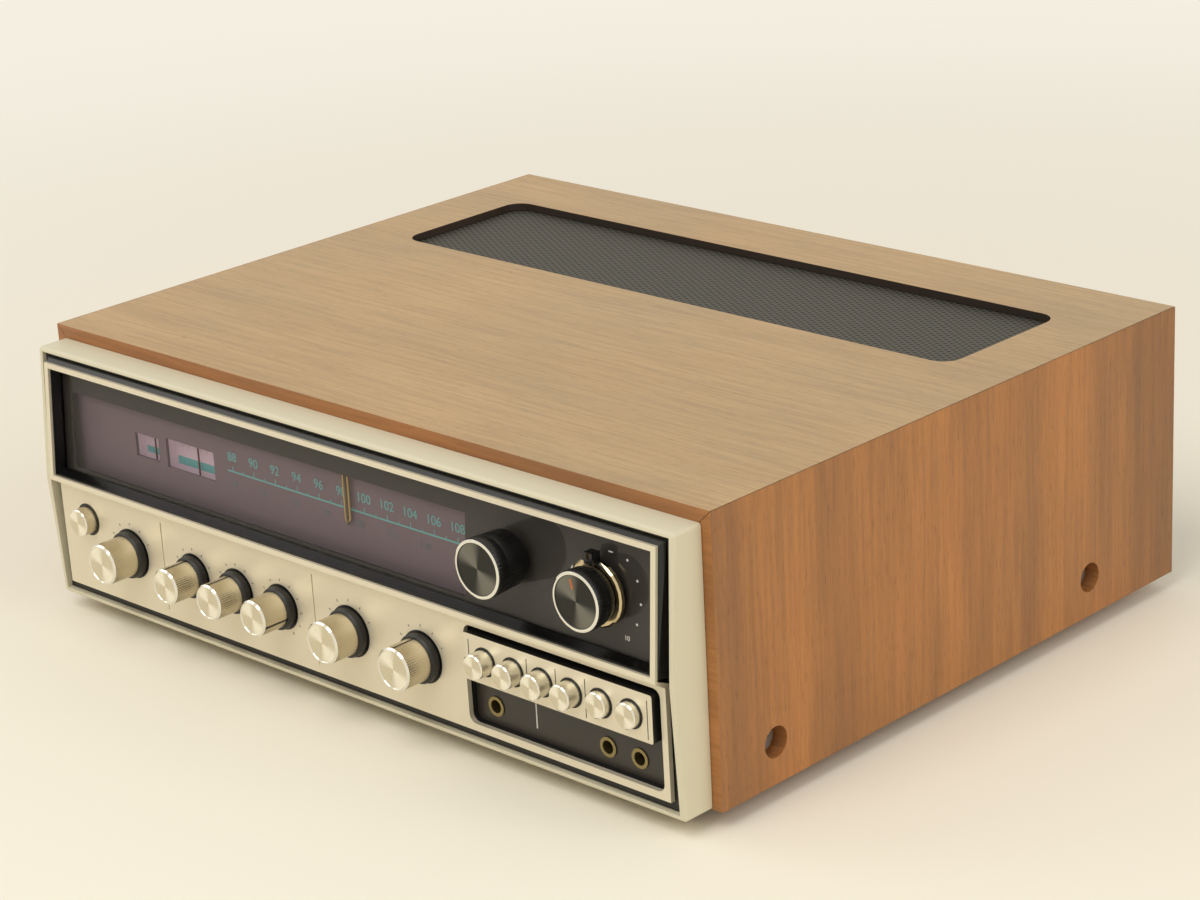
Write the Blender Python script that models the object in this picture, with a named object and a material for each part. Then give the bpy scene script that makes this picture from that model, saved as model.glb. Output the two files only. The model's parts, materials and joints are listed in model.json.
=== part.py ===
"""A stereo receiver in a walnut sleeve, with a cream bezel, a black dial window and a champagne panel.

Every place is measured in the cabinet's frame: X runs along the front from its middle, Y runs back
from the front face of the wood, and Z runs up from the underside of the wood. One empty carries the
whole object and lifts it onto its feet.
"""

import math

import bmesh
import bpy

# Clearance between pieces that seat on each other, and the overrun of every cutter
GAP = 0.0003
OVERRUN = 0.002

# Cabinet
CABINET_WIDTH = 0.440
CABINET_DEPTH = 0.338
CABINET_HEIGHT = 0.1384
BOARD_THICKNESS = 0.015
VENT_SIDE_MARGIN = 0.036
VENT_LENGTH = CABINET_WIDTH - 2 * VENT_SIDE_MARGIN
VENT_WIDTH = 0.087
VENT_BACK_MARGIN = 0.045
VENT_CORNER_RADIUS = 0.010
VENT_LIP_THICKNESS = 0.004
VENT_LEDGE_WIDTH = 0.006
GRILLE_THICKNESS = 0.0012
SCREW_FRONT_MARGIN = 0.036
SCREW_BACK_MARGIN = 0.070
SCREW_HEIGHT = 0.020
COUNTERBORE_RADIUS = 0.0075
COUNTERBORE_DEPTH = 0.010
SCREW_HEAD_RADIUS = 0.006
SCREW_HEAD_HEIGHT = 0.0028
SCREW_SHANK_RADIUS = 0.002
SCREW_SLOT_WIDTH = 0.0012
SCREW_SLOT_DEPTH = 0.001

# Feet
FOOT_HEIGHT = 0.009
FOOT_RADIUS = 0.012
FOOT_CHAMFER = 0.001
FOOT_SIDE_INSET = 0.045
FOOT_FRONT_INSET = 0.040
FOOT_BACK_INSET = 0.048

# Sheet metal
SHEET = 0.0012
CHASSIS_BOTTOM_Z = 0.004
CHASSIS_DECK_Z = 0.0292
CHASSIS_FRONT_Y = 0.027
CHASSIS_LIP = 0.012
REAR_PANEL_RECESS = 0.0105
REAR_PANEL_TOP_Z = 0.120
SUB_PANEL_Y = 0.012
SUB_PANEL_BOTTOM_Z = 0.006
SUB_PANEL_TOP_Z = 0.1165
COVER_SLOT_LENGTH = 0.040
COVER_SLOT_WIDTH = 0.006
COVER_SLOT_PITCH = 0.024
COVER_SLOT_COUNT = 6

# Bezel, whose front comes to a slight prow
BEZEL_SIDE_INSET = 0.0055
BEZEL_WIDTH = CABINET_WIDTH - 2 * BEZEL_SIDE_INSET
BEZEL_TOP_Z = 0.132
BEZEL_BOTTOM_Z = 0.0002
BEZEL_SIDE_WALL = 0.003
BEZEL_TOP_WALL = 0.0022
BEZEL_BOTTOM_WALL = 0.0026
BEZEL_TOP_Y = -0.0168
BEZEL_BEND_Y = -0.0206
BEZEL_BEND_Z = 0.0635
BEZEL_BOTTOM_Y = -0.0174
BEZEL_ROUNDING = 0.0015
BEZEL_FLANGE_THICKNESS = 0.003
BEZEL_FLANGE_WIDTH = 0.0055

# Black liner inside the bezel
LINER_FRONT_Y = -0.0149
LINER_THICKNESS = 0.0024
LINER_WALL = 0.002

# Front panel: a flat lower plate, and a leaning frame round the window
PANEL_SIDE_MARGIN = 0.0047
PANEL_HALF_WIDTH = BEZEL_WIDTH / 2 - BEZEL_SIDE_WALL - PANEL_SIDE_MARGIN
PLATE_BOTTOM_Z = 0.0077
PLATE_TOP_Z = 0.0612
PLATE_BOTTOM_Y = -0.0177
PLATE_TOP_Y = -0.0182
PLATE_THICKNESS = 0.0025
RING_BOTTOM_Z = 0.065
RING_TOP_Z = 0.1259
CREST_BOTTOM_Y = -0.02426
CREST_TOP_Y = -0.02007
RING_SIDE_WIDTH = 0.0029
RING_BAR_HEIGHT = 0.0026
RING_THICKNESS = 0.0015
HOOD_WALL = 0.0015
DIVIDER_WIDTH = 0.0007
DIVIDER_DEPTH = 0.0004
DIVIDER_BOTTOM_Z = 0.0116
DIVIDER_TOP_Z = 0.058
DIVIDER_SHARES = (-0.620, -0.082)

# Recess for the push buttons and the jacks
RECESS_LEFT_SHARE = 0.409
RECESS_SIDE_MARGIN = 0.0033
RECESS_LEFT_X = RECESS_LEFT_SHARE * PANEL_HALF_WIDTH
RECESS_RIGHT_X = PANEL_HALF_WIDTH - RECESS_SIDE_MARGIN
RECESS_BOTTOM_Z = 0.0112
RECESS_TOP_Z = 0.0595
RECESS_CORNER_RADIUS = 0.004
JACK_PANEL_THICKNESS = 0.0016
JACK_PANEL_OVERLAP = 0.0022
BUTTON_PLATE_LEFT_MARGIN = 0.0029
BUTTON_PLATE_RIGHT_MARGIN = 0.0023
BUTTON_PLATE_LEFT_X = RECESS_LEFT_X + BUTTON_PLATE_LEFT_MARGIN
BUTTON_PLATE_RIGHT_X = RECESS_RIGHT_X - BUTTON_PLATE_RIGHT_MARGIN
BUTTON_PLATE_BOTTOM_Z = 0.0345
BUTTON_PLATE_TOP_Z = 0.0572
BUTTON_PLATE_FRONT_Y = -0.021
BUTTON_PLATE_WALL = 0.0015
BUTTON_PLATE_CORNER_RADIUS = 0.001

# Push buttons
BUTTON_COUNT = 6
BUTTON_END_MARGIN = 0.0126
BUTTON_FIRST_X = BUTTON_PLATE_LEFT_X + BUTTON_END_MARGIN
BUTTON_PITCH = (BUTTON_PLATE_RIGHT_X - BUTTON_PLATE_LEFT_X - 2 * BUTTON_END_MARGIN) / (BUTTON_COUNT - 1)
BUTTON_Z = 0.0456
BUTTON_RADIUS = 0.006
BUTTON_HOLE_CLEARANCE = 0.0006
BUTTON_FACE_Y = -0.0288
BUTTON_TRAVEL = 0.0038
BUTTON_EDGE = 0.0006
BUTTON_STEM_RADIUS = 0.0025
BUTTONS_PRESSED = (4, 5)
SWITCH_BANK_DEPTH = 0.018
SWITCH_BANK_HEIGHT = 0.015
SWITCH_BANK_MARGIN = 0.008

# Front jacks
JACK_SHARES = (0.104, 0.684, 0.842)
JACK_X = tuple(RECESS_LEFT_X + share * (RECESS_RIGHT_X - RECESS_LEFT_X) for share in JACK_SHARES)
JACK_Z = 0.0202
JACK_BORE_RADIUS = 0.0032
JACK_RING_RADIUS = 0.0048
JACK_RING_HEIGHT = 0.0003
JACK_THREAD_RADIUS = 0.0044
JACK_BODY_RADIUS = 0.0062
JACK_LENGTH = 0.022

# Dial window
SURROUND_BEVEL_WIDTH = 0.0018
SURROUND_HALF_WIDTH = PANEL_HALF_WIDTH + SURROUND_BEVEL_WIDTH
SURROUND_TOP_Z = 0.128
SURROUND_BOTTOM_Z = 0.0663
GLASS_DEPTH = 0.0073
GLASS_THICKNESS = 0.002
WELL_TAPER = 0.0009
GLASS_VISIBLE_HALF_WIDTH = PANEL_HALF_WIDTH - RING_SIDE_WIDTH - WELL_TAPER
GLASS_VISIBLE_BOTTOM_Z = 0.0705
GLASS_VISIBLE_TOP_Z = 0.1225
GLASS_EDGE_HIDDEN = 0.002
SURROUND_REAR_Y = -0.0105
SURROUND_BODY_WALL = 0.0006
MASK_THICKNESS = 0.0005
MASK_WINDOW_LEFT_SHARE = -0.973
MASK_WINDOW_RIGHT_SHARE = 0.413
MASK_WINDOW_LEFT_X = MASK_WINDOW_LEFT_SHARE * GLASS_VISIBLE_HALF_WIDTH
MASK_WINDOW_RIGHT_X = MASK_WINDOW_RIGHT_SHARE * GLASS_VISIBLE_HALF_WIDTH
MASK_WINDOW_BOTTOM_Z = 0.0706
MASK_WINDOW_TOP_Z = 0.1099
DIAL_PLATE_Y = -0.007
DIAL_PLATE_THICKNESS = 0.0015
DIAL_PLATE_SIDE_MARGIN = 0.002
DIAL_PLATE_HALF_WIDTH = GLASS_VISIBLE_HALF_WIDTH - DIAL_PLATE_SIDE_MARGIN
DIAL_PLATE_BOTTOM_Z = 0.067
DIAL_PLATE_TOP_Z = 0.116
POST_RADIUS = 0.0025
POST_INSET = 0.008
LAMP_SHARES = (-0.87, -0.30, 0.00, 0.30)
LAMP_X = tuple(share * DIAL_PLATE_HALF_WIDTH for share in LAMP_SHARES)
LAMP_Z = 0.078
LAMP_RADIUS = 0.0032
LAMP_HOLDER_RADIUS = 0.0045
LAMP_HOLDER_LENGTH = 0.005
LAMP_LENGTH = 0.014

# Meters: each has its window in the dial plate, a case behind it and a needle
METER_MARGIN = 0.003
METER_CASE_WALL = 0.0012
METER_DEPTH = 0.010
METER_DROP = 0.010
METER_PIVOT_DROP = 0.007
SIGNAL_WINDOW_SHARES = (-0.7741, -0.6846)
TUNING_WINDOW_SHARES = (-0.6547, -0.4756)
SIGNAL_WINDOW_BOTTOM_Z = 0.0839
SIGNAL_WINDOW_TOP_Z = 0.0959
TUNING_WINDOW_BOTTOM_Z = 0.0829
TUNING_WINDOW_TOP_Z = 0.0979
SIGNAL_WINDOW = (*[share * DIAL_PLATE_HALF_WIDTH for share in SIGNAL_WINDOW_SHARES],
                 SIGNAL_WINDOW_BOTTOM_Z, SIGNAL_WINDOW_TOP_Z)
TUNING_WINDOW = (*[share * DIAL_PLATE_HALF_WIDTH for share in TUNING_WINDOW_SHARES],
                 TUNING_WINDOW_BOTTOM_Z, TUNING_WINDOW_TOP_Z)
NEEDLE_WIDTH = 0.0008
NEEDLE_THICKNESS = 0.0005
NEEDLE_HUB_RADIUS = 0.0018
NEEDLE_HUB_LENGTH = 0.0024
NEEDLE_HEAD_ROOM = 0.0015
NEEDLE_SETBACK = 0.0012

# Tuning drive
TUNING_SHARE = 0.5542
TUNING_X = TUNING_SHARE * PANEL_HALF_WIDTH
TUNING_Z = 0.0983
TUNING_FACE_Y = -0.0357
TUNING_REAR_Y = -0.0165
TUNING_RIM_RADIUS = 0.0136
TUNING_RADIUS = 0.014
TUNING_REAR_RADIUS = 0.013
TUNING_DISH_DEPTH = 0.0006
SHAFT_RADIUS = 0.003
SHAFT_HOLE_CLEARANCE = 0.001
CORD_RADIUS = 0.0004
CORD_PLANE_Y = 0.022
DRIVE_RADIUS = 0.004
DRIVE_FLANGE = 0.0018
DRIVE_WIDTH = 0.004
FLYWHEEL_RADIUS = 0.022
FLYWHEEL_Y = 0.027
FLYWHEEL_THICKNESS = 0.010
SHAFT_END = 0.003
DRUM_SHARE = -0.05
DRUM_X = DRUM_SHARE * PANEL_HALF_WIDTH
DRUM_Z = 0.062
DRUM_DRIVE_RADIUS = 0.046
DRUM_WIDTH = 0.006
DRUM_FLANGE = 0.0012
DRUM_RIM_WALL = 0.004
DRUM_WEB = 0.002
DRUM_HUB_RADIUS = 0.007
PULLEY_RADIUS = 0.006
PULLEY_FLANGE = 0.0014
PULLEY_POST_RADIUS = 0.002
LEFT_PULLEY_SHARE = -0.50
RIGHT_PULLEY_SHARE = 0.725
LEFT_PULLEY_X = LEFT_PULLEY_SHARE * PANEL_HALF_WIDTH
RIGHT_PULLEY_X = RIGHT_PULLEY_SHARE * PANEL_HALF_WIDTH
PULLEY_Z = 0.112
RAIL_RADIUS = 0.0015
RAIL_Y = 0.0165
RAIL_Z = 0.112
RAIL_LEFT_SHARE = -0.435
RAIL_RIGHT_SHARE = 0.455
RAIL_LEFT_X = RAIL_LEFT_SHARE * PANEL_HALF_WIDTH
RAIL_RIGHT_X = RAIL_RIGHT_SHARE * PANEL_HALF_WIDTH
RAIL_BLOCK = 0.005
POINTER_SHARE = 0.01
POINTER_X = POINTER_SHARE * PANEL_HALF_WIDTH
POINTER_CARRIAGE_WIDTH = 0.012
POINTER_CARRIAGE_DEPTH = 0.0048
POINTER_CARRIAGE_HEIGHT = 0.0048
POINTER_ARM_WIDTH = 0.006
POINTER_ARM_THICKNESS = 0.0012
POINTER_BLADE_WIDTH = 0.0014
POINTER_BLADE_THICKNESS = 0.0006
POINTER_BLADE_Y = -0.0095
POINTER_TIP_Z = 0.0847
GANG_GAP = 0.0008
GANG_DEPTH = 0.039
GANG_HALF_WIDTH = 0.040
GANG_TOP_Z = 0.100
GANG_PLATE_COUNT = 4
GANG_PLATE_THICKNESS = 0.001
ROTOR_RADIUS = 0.022
STATOR_HALF_WIDTH = 0.030
STATOR_ROD_RADIUS = 0.0015

# Volume knob and balance ring
VOLUME_SHARE = 0.8148
VOLUME_X = VOLUME_SHARE * PANEL_HALF_WIDTH
VOLUME_Z = 0.095
VOLUME_FACE_Y = -0.0306
VOLUME_REAR_Y = -0.0192
RING_FRONT_Y = -0.0188
RING_REAR_Y = -0.0163
RING_RADIUS = 0.0155
RING_SLEEVE_RADIUS = 0.0045
TAB_WIDTH = 0.005
TAB_TOP_Z = 0.1145
TAB_FRONT_Y = -0.0216
VOLUME_POT_RADIUS = 0.0125
VOLUME_POT_LENGTH = 0.020
VOLUME_BUSHING_RADIUS = 0.0055
VOLUME_BUSHING_FRONT_Y = 0.0085

# Small knobs: name, share of the panel's half width, face and radius of each
KNOB_Z = 0.0355
LARGE_KNOB_RADIUS = 0.0104
TONE_KNOB_RADIUS = 0.0090
SPEAKERS_FACE_Y = -0.0375
TONE_FACE_Y = -0.0368
MODE_FACE_Y = -0.0362
SELECTOR_FACE_Y = -0.0366
KNOB_SHARES = {
    "speakers": -0.7413, "bass": -0.5087, "mid": -0.3525, "treble": -0.1968, "mode": 0.0372, "selector": 0.2713}
KNOB_SIZES = {
    "speakers": (SPEAKERS_FACE_Y, LARGE_KNOB_RADIUS), "bass": (TONE_FACE_Y, TONE_KNOB_RADIUS),
    "mid": (TONE_FACE_Y, TONE_KNOB_RADIUS), "treble": (TONE_FACE_Y, TONE_KNOB_RADIUS),
    "mode": (MODE_FACE_Y, LARGE_KNOB_RADIUS), "selector": (SELECTOR_FACE_Y, LARGE_KNOB_RADIUS)}
SMALL_KNOBS = [(name, share * PANEL_HALF_WIDTH, *KNOB_SIZES[name]) for name, share in KNOB_SHARES.items()]
POINTER_TURN_DEG = {"speakers": -90, "bass": 0, "mid": 0, "treble": 110, "mode": -45, "selector": 0}
KNOB_CHAMFER = 0.0008
KNOB_BODY_REAR_Y = -0.0225
KNOB_SKIRT_EXTRA = 0.0015
KNOB_REAR_Y = -0.0185
KNOB_GROOVE_WIDTH = 0.0012
KNOB_GROOVE_DEPTH = 0.0008
BRACKET_Y = -0.010
BRACKET_LEFT_MARGIN = 0.0068
BRACKET_RIGHT_MARGIN = 0.0066
BRACKET_LEFT_X = -PANEL_HALF_WIDTH + BRACKET_LEFT_MARGIN
BRACKET_RIGHT_X = RECESS_LEFT_X - BRACKET_RIGHT_MARGIN
BRACKET_BOTTOM_Z = 0.010
BRACKET_TOP_Z = 0.0585
POT_RADIUS = 0.010
POT_LENGTH = 0.017
POT_BUSHING_RADIUS = 0.0045
POT_BUSHING_FRONT_Y = -0.0122

# Power button
POWER_MARGIN = 0.0203
POWER_X = -PANEL_HALF_WIDTH + POWER_MARGIN
POWER_Z = 0.046
POWER_RADIUS = 0.007
POWER_FACE_Y = -0.025
POWER_REAR_Y = -0.014
POWER_STEM_END_Y = -0.002
POWER_SWITCH_HALF_WIDTH = 0.0105
POWER_SWITCH_DEPTH = 0.0165

# Works on the deck
TRANSFORMER_SIDE_MARGIN = 0.035
TRANSFORMER_LOW = (-CABINET_WIDTH / 2 + TRANSFORMER_SIDE_MARGIN, 0.215)
TRANSFORMER_SIZE = (0.078, 0.082, 0.068)
TRANSFORMER_COIL_INSET = 0.012
CAPACITOR_SHARES = (-0.363, -0.169)
CAPACITOR_X = tuple(share * PANEL_HALF_WIDTH for share in CAPACITOR_SHARES)
CAPACITOR_Y = 0.235
CAPACITOR_RADIUS = 0.0175
CAPACITOR_HEIGHT = 0.066
CAPACITOR_CLAMP = 0.006
HEAT_SINK_SIDE_MARGIN = 0.210
HEAT_SINK_LOW = (CABINET_WIDTH / 2 - HEAT_SINK_SIDE_MARGIN, 0.262)
HEAT_SINK_SIZE = (0.150, 0.050, 0.060)
HEAT_SINK_FIN_COUNT = 11
HEAT_SINK_FIN_THICKNESS = 0.002
HEAT_SINK_BASE = 0.005
BOARD_SIDE_MARGIN = 0.175
BOARD_LOW = (CABINET_WIDTH / 2 - BOARD_SIDE_MARGIN, 0.070)
BOARD_SIZE = (0.140, 0.120)
BOARD_SHEET = 0.0016
BOARD_LIFT = 0.006
SPACER_RADIUS = 0.003

# Rear
TERMINAL_DEPTH = 0.0075
PHONO_COUNT = 8
PHONO_FIRST_SHARE = -0.78
PHONO_PITCH_SHARE = 0.087
PHONO_FIRST_X = PHONO_FIRST_SHARE * PANEL_HALF_WIDTH
PHONO_PITCH = PHONO_PITCH_SHARE * PANEL_HALF_WIDTH
PHONO_Z = 0.045
PHONO_RADIUS = 0.0042
SPEAKER_BLOCK_SIDE_MARGIN = 0.200
SPEAKER_BLOCK_LOW = (CABINET_WIDTH / 2 - SPEAKER_BLOCK_SIDE_MARGIN, 0.034)
SPEAKER_BLOCK_SIZE = (0.070, 0.022)
OUTLET_SIDE_MARGIN = 0.110
OUTLET_LOW = (CABINET_WIDTH / 2 - OUTLET_SIDE_MARGIN, 0.034)
OUTLET_SIZE = (0.034, 0.024)
FUSE_SIDE_MARGIN = 0.055
FUSE_X = CABINET_WIDTH / 2 - FUSE_SIDE_MARGIN
FUSE_Z = 0.045
FUSE_RADIUS = 0.007
INLET_SIDE_MARGIN = 0.032
INLET_X = CABINET_WIDTH / 2 - INLET_SIDE_MARGIN
INLET_Z = 0.045
INLET_RADIUS = 0.006
INLET_BORE_RADIUS = 0.0035
ANTENNA_PIVOT_X = -0.070
ANTENNA_PIVOT_Y = 0.3385
ANTENNA_Z = 0.103
ANTENNA_RADIUS = 0.005
ANTENNA_LENGTH = 0.140
ANTENNA_PIN_RADIUS = 0.0018
ANTENNA_EYE_RADIUS = 0.0045
ANTENNA_EYE_HEIGHT = 0.012
EAR_THICKNESS = 0.0015
EAR_WIDTH = 0.010

# Round pieces: faces round a circle
FINE = 24
MEDIUM = 16
COARSE = 8

HALF_WIDTH = CABINET_WIDTH / 2
FRONT_MOST_Y = min(knob[2] for knob in SMALL_KNOBS)
BACK_MOST_Y = ANTENNA_PIVOT_Y + ANTENNA_RADIUS
REAR_WALL_Y = CABINET_DEPTH - REAR_PANEL_RECESS


def clear_scene():
    for obj in list(bpy.data.objects):
        bpy.data.objects.remove(obj)


def material(name, colour, roughness, metallic=0.0):
    made = bpy.data.materials.new(name)
    made.use_nodes = True
    shader = made.node_tree.nodes["Principled BSDF"]
    shader.inputs["Base Color"].default_value = (*colour, 1.0)
    shader.inputs["Roughness"].default_value = roughness
    shader.inputs["Metallic"].default_value = metallic
    return made


def add_object(name, bm, finish, at=(0, 0, 0)):
    """Make an object from a bmesh drawn round its own origin, a point of the cabinet's frame."""
    bmesh.ops.recalc_face_normals(bm, faces=bm.faces)
    mesh = bpy.data.meshes.new(name)
    bm.to_mesh(mesh)
    bm.free()
    obj = bpy.data.objects.new(name, mesh)
    bpy.context.collection.objects.link(obj)
    obj.parent = CARRIER
    obj.location = at
    mesh.materials.append(finish)
    return obj


def round_off(obj):
    """Shade a turned piece smooth, with its edges kept sharp."""
    obj.data.shade_smooth()
    obj.data.set_sharp_from_angle(angle=math.radians(35))


def tool(name, bm, at=(0, 0, 0)):
    """Make a hidden solid that cuts or joins another object."""
    obj = add_object(name, bm, GUIDE, at)
    obj.hide_render = True
    obj.display_type = "WIRE"
    return obj


def boolean(obj, other, operation):
    modifier = obj.modifiers.new(f"{operation.lower()}_{other.name}", "BOOLEAN")
    modifier.operation = operation
    modifier.solver = "EXACT"
    modifier.object = other


def cut(obj, other):
    boolean(obj, other, "DIFFERENCE")


def join(obj, other):
    boolean(obj, other, "UNION")


def add_block(bm, low, high):
    """Add a block between two opposite corners."""
    corners = [
        bm.verts.new((x, y, z)) for z in (low[2], high[2]) for y in (low[1], high[1]) for x in (low[0], high[0])]
    for face in ((0, 2, 3, 1), (4, 5, 7, 6), (0, 1, 5, 4), (2, 6, 7, 3), (0, 4, 6, 2), (1, 3, 7, 5)):
        bm.faces.new([corners[i] for i in face])


def add_prism(bm, outline, axis, start, end):
    """Add a prism along an axis: its outline holds the other two coordinates in the order X, Y, Z."""
    loops = []
    for place in (start, end):
        loop = []
        for first, second in outline:
            point = [first, second]
            point.insert("XYZ".index(axis), place)
            loop.append(bm.verts.new(point))
        loops.append(loop)
    add_skin(bm, loops)
    bm.faces.new(loops[0])
    bm.faces.new(loops[-1])


def add_skin(bm, loops, closed=False):
    """Bridge loops of as many vertices, one after another."""
    pairs = list(zip(loops, loops[1:]))
    if closed:
        pairs.append((loops[-1], loops[0]))
    for near, far in pairs:
        for i in range(len(near)):
            j = (i + 1) % len(near)
            bm.faces.new((near[i], near[j], far[j], far[i]))


def add_turned(bm, profile, centre=(0, 0, 0), axis="Y", faces=MEDIUM):
    """Add a solid of revolution: its profile holds radius and place along the axis, from end to end."""
    rings = []
    for radius, place in profile:
        ring = []
        for i in range(faces):
            turn = 2 * math.pi * i / faces
            point = [radius * math.cos(turn), radius * math.sin(turn)]
            point.insert("XYZ".index(axis), place)
            ring.append(bm.verts.new([p + c for p, c in zip(point, centre)]))
        rings.append(ring)
    add_skin(bm, rings)
    bm.faces.new(rings[0])
    bm.faces.new(rings[-1])


def add_tube(bm, profile, centre=(0, 0, 0), axis="Y", faces=MEDIUM):
    """Add a turned ring with a bore: its profile is a closed loop of radius and place."""
    rings = []
    for radius, place in profile:
        ring = []
        for i in range(faces):
            turn = 2 * math.pi * i / faces
            point = [radius * math.cos(turn), radius * math.sin(turn)]
            point.insert("XYZ".index(axis), place)
            ring.append(bm.verts.new([p + c for p, c in zip(point, centre)]))
        rings.append(ring)
    add_skin(bm, rings, closed=True)


def rod(bm, radius, start, end, centre=(0, 0, 0), axis="Y", faces=MEDIUM):
    add_turned(bm, ((radius, start), (radius, end)), centre, axis, faces)


def rounded_rectangle(left, right, bottom, top, radius, steps=5):
    outline = []
    corners = ((right, top, 0), (left, top, 1), (left, bottom, 2), (right, bottom, 3))
    for x, z, quarter in corners:
        centre_x = x - math.copysign(radius, x - (left + right) / 2)
        centre_z = z - math.copysign(radius, z - (bottom + top) / 2)
        for i in range(steps + 1):
            turn = math.pi / 2 * (quarter + i / steps)
            outline.append((centre_x + radius * math.cos(turn), centre_z + radius * math.sin(turn)))
    return outline


def crest_y(z, depth=0):
    """The front plane of the window frame, which leans forward towards its foot, and planes behind it."""
    share = (z - RING_BOTTOM_Z) / (RING_TOP_Z - RING_BOTTOM_Z)
    return CREST_BOTTOM_Y + share * (CREST_TOP_Y - CREST_BOTTOM_Y) + depth


def leaning_loop(bm, left, right, bottom, top, depth=None, plane=None):
    """A rectangle of four vertices on a plane behind the crest, or on an upright plane."""
    loop = []
    for x, z in ((left, bottom), (right, bottom), (right, top), (left, top)):
        y = crest_y(z, depth) if plane is None else plane
        loop.append(bm.verts.new((x, y, z)))
    return loop


def add_slab(bm, near, far):
    """Add a solid between two rectangles, each given as the arguments of a leaning loop."""
    loops = [leaning_loop(bm, *near[0], **near[1]), leaning_loop(bm, *far[0], **far[1])]
    add_skin(bm, loops)
    bm.faces.new(loops[0])
    bm.faces.new(loops[1])


def make_cabinet():
    shift = GAP * math.sqrt(2)
    under = CABINET_HEIGHT - BOARD_THICKNESS
    inner = HALF_WIDTH - BOARD_THICKNESS
    top_edge = HALF_WIDTH - shift
    low_edge = inner - shift
    outline = (
        (-top_edge, CABINET_HEIGHT), (top_edge, CABINET_HEIGHT), (low_edge, under), (-low_edge, under))
    bm = bmesh.new()
    add_prism(bm, outline, "Y", 0, CABINET_DEPTH)
    top = add_object("cabinet_top", bm, WALNUT)

    vent_back = CABINET_DEPTH - VENT_BACK_MARGIN
    vent_front = vent_back - VENT_WIDTH
    half = VENT_LENGTH / 2
    bm = bmesh.new()
    add_prism(bm, rounded_rectangle(-half, half, vent_front, vent_back, VENT_CORNER_RADIUS),
              "Z", under - OVERRUN, CABINET_HEIGHT + OVERRUN)
    cut(top, tool("vent_cutter", bm))
    ledge = VENT_LEDGE_WIDTH
    lip_z = CABINET_HEIGHT - VENT_LIP_THICKNESS
    bm = bmesh.new()
    add_block(bm, (-half - ledge, vent_front - ledge, under - OVERRUN), (half + ledge, vent_back + ledge, lip_z))
    cut(top, tool("vent_rabbet_cutter", bm))

    seat = ledge - GAP
    bm = bmesh.new()
    add_block(bm, (-half - seat, vent_front - seat, lip_z - GAP - GRILLE_THICKNESS),
              (half + seat, vent_back + seat, lip_z - GAP))
    add_object("vent_grille", bm, BLACK_STEEL)

    for name, sign in (("cabinet_left_side", -1), ("cabinet_right_side", 1)):
        outline = (
            (sign * HALF_WIDTH, 0), (sign * HALF_WIDTH, CABINET_HEIGHT), (sign * inner, under), (sign * inner, 0))
        bm = bmesh.new()
        add_prism(bm, outline, "Y", 0, CABINET_DEPTH)
        side = add_object(name, bm, WALNUT)
        hole = (
            (COUNTERBORE_RADIUS, sign * (HALF_WIDTH + OVERRUN)),
            (COUNTERBORE_RADIUS, sign * (HALF_WIDTH - COUNTERBORE_DEPTH)),
            (SCREW_SHANK_RADIUS + GAP, sign * (HALF_WIDTH - COUNTERBORE_DEPTH)),
            (SCREW_SHANK_RADIUS + GAP, sign * (inner - OVERRUN)),
        )
        bm = bmesh.new()
        for y in screw_places():
            add_turned(bm, hole, (0, y, SCREW_HEIGHT), "X")
        cut(side, tool(f"{name}_holes", bm))


def screw_places():
    return SCREW_FRONT_MARGIN, CABINET_DEPTH - SCREW_BACK_MARGIN


def make_cabinet_screws():
    seat = COUNTERBORE_DEPTH - GAP
    tip = BOARD_THICKNESS + 2 * (SHEET + GAP) + SHEET
    face = seat - SCREW_HEAD_HEIGHT
    reach = SCREW_HEAD_RADIUS / 2
    half = SCREW_SLOT_WIDTH / 2
    cross = ((-half, -reach), (half, -reach), (half, -half), (reach, -half), (reach, half), (half, half),
             (half, reach), (-half, reach), (-half, half), (-reach, half), (-reach, -half), (-half, -half))
    number = 0
    for sign in (-1, 1):
        for y in screw_places():
            number += 1
            at = (sign * HALF_WIDTH, y, SCREW_HEIGHT)
            profile = (
                (SCREW_SHANK_RADIUS, -sign * tip), (SCREW_SHANK_RADIUS, -sign * seat),
                (SCREW_HEAD_RADIUS, -sign * seat), (SCREW_HEAD_RADIUS, -sign * face))
            bm = bmesh.new()
            add_turned(bm, profile, axis="X")
            screw = add_object(f"cabinet_screw_{number}", bm, STEEL, at)
            bm = bmesh.new()
            add_prism(bm, cross, "X", -sign * (face + SCREW_SLOT_DEPTH), -sign * (face - OVERRUN))
            cut(screw, tool(f"screw_slot_{number}", bm, at))
            round_off(screw)


def foot_tool():
    bm = bmesh.new()
    top = CHASSIS_BOTTOM_Z - SHEET / 2 - GAP
    for x in (-HALF_WIDTH + FOOT_SIDE_INSET, HALF_WIDTH - FOOT_SIDE_INSET):
        for y in (FOOT_FRONT_INSET, CABINET_DEPTH - FOOT_BACK_INSET):
            profile = (
                (FOOT_RADIUS - FOOT_CHAMFER, -FOOT_HEIGHT), (FOOT_RADIUS, -FOOT_HEIGHT + FOOT_CHAMFER),
                (FOOT_RADIUS, top))
            add_turned(bm, profile, (x, y, 0), "Z")
    return tool("feet", bm)


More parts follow.
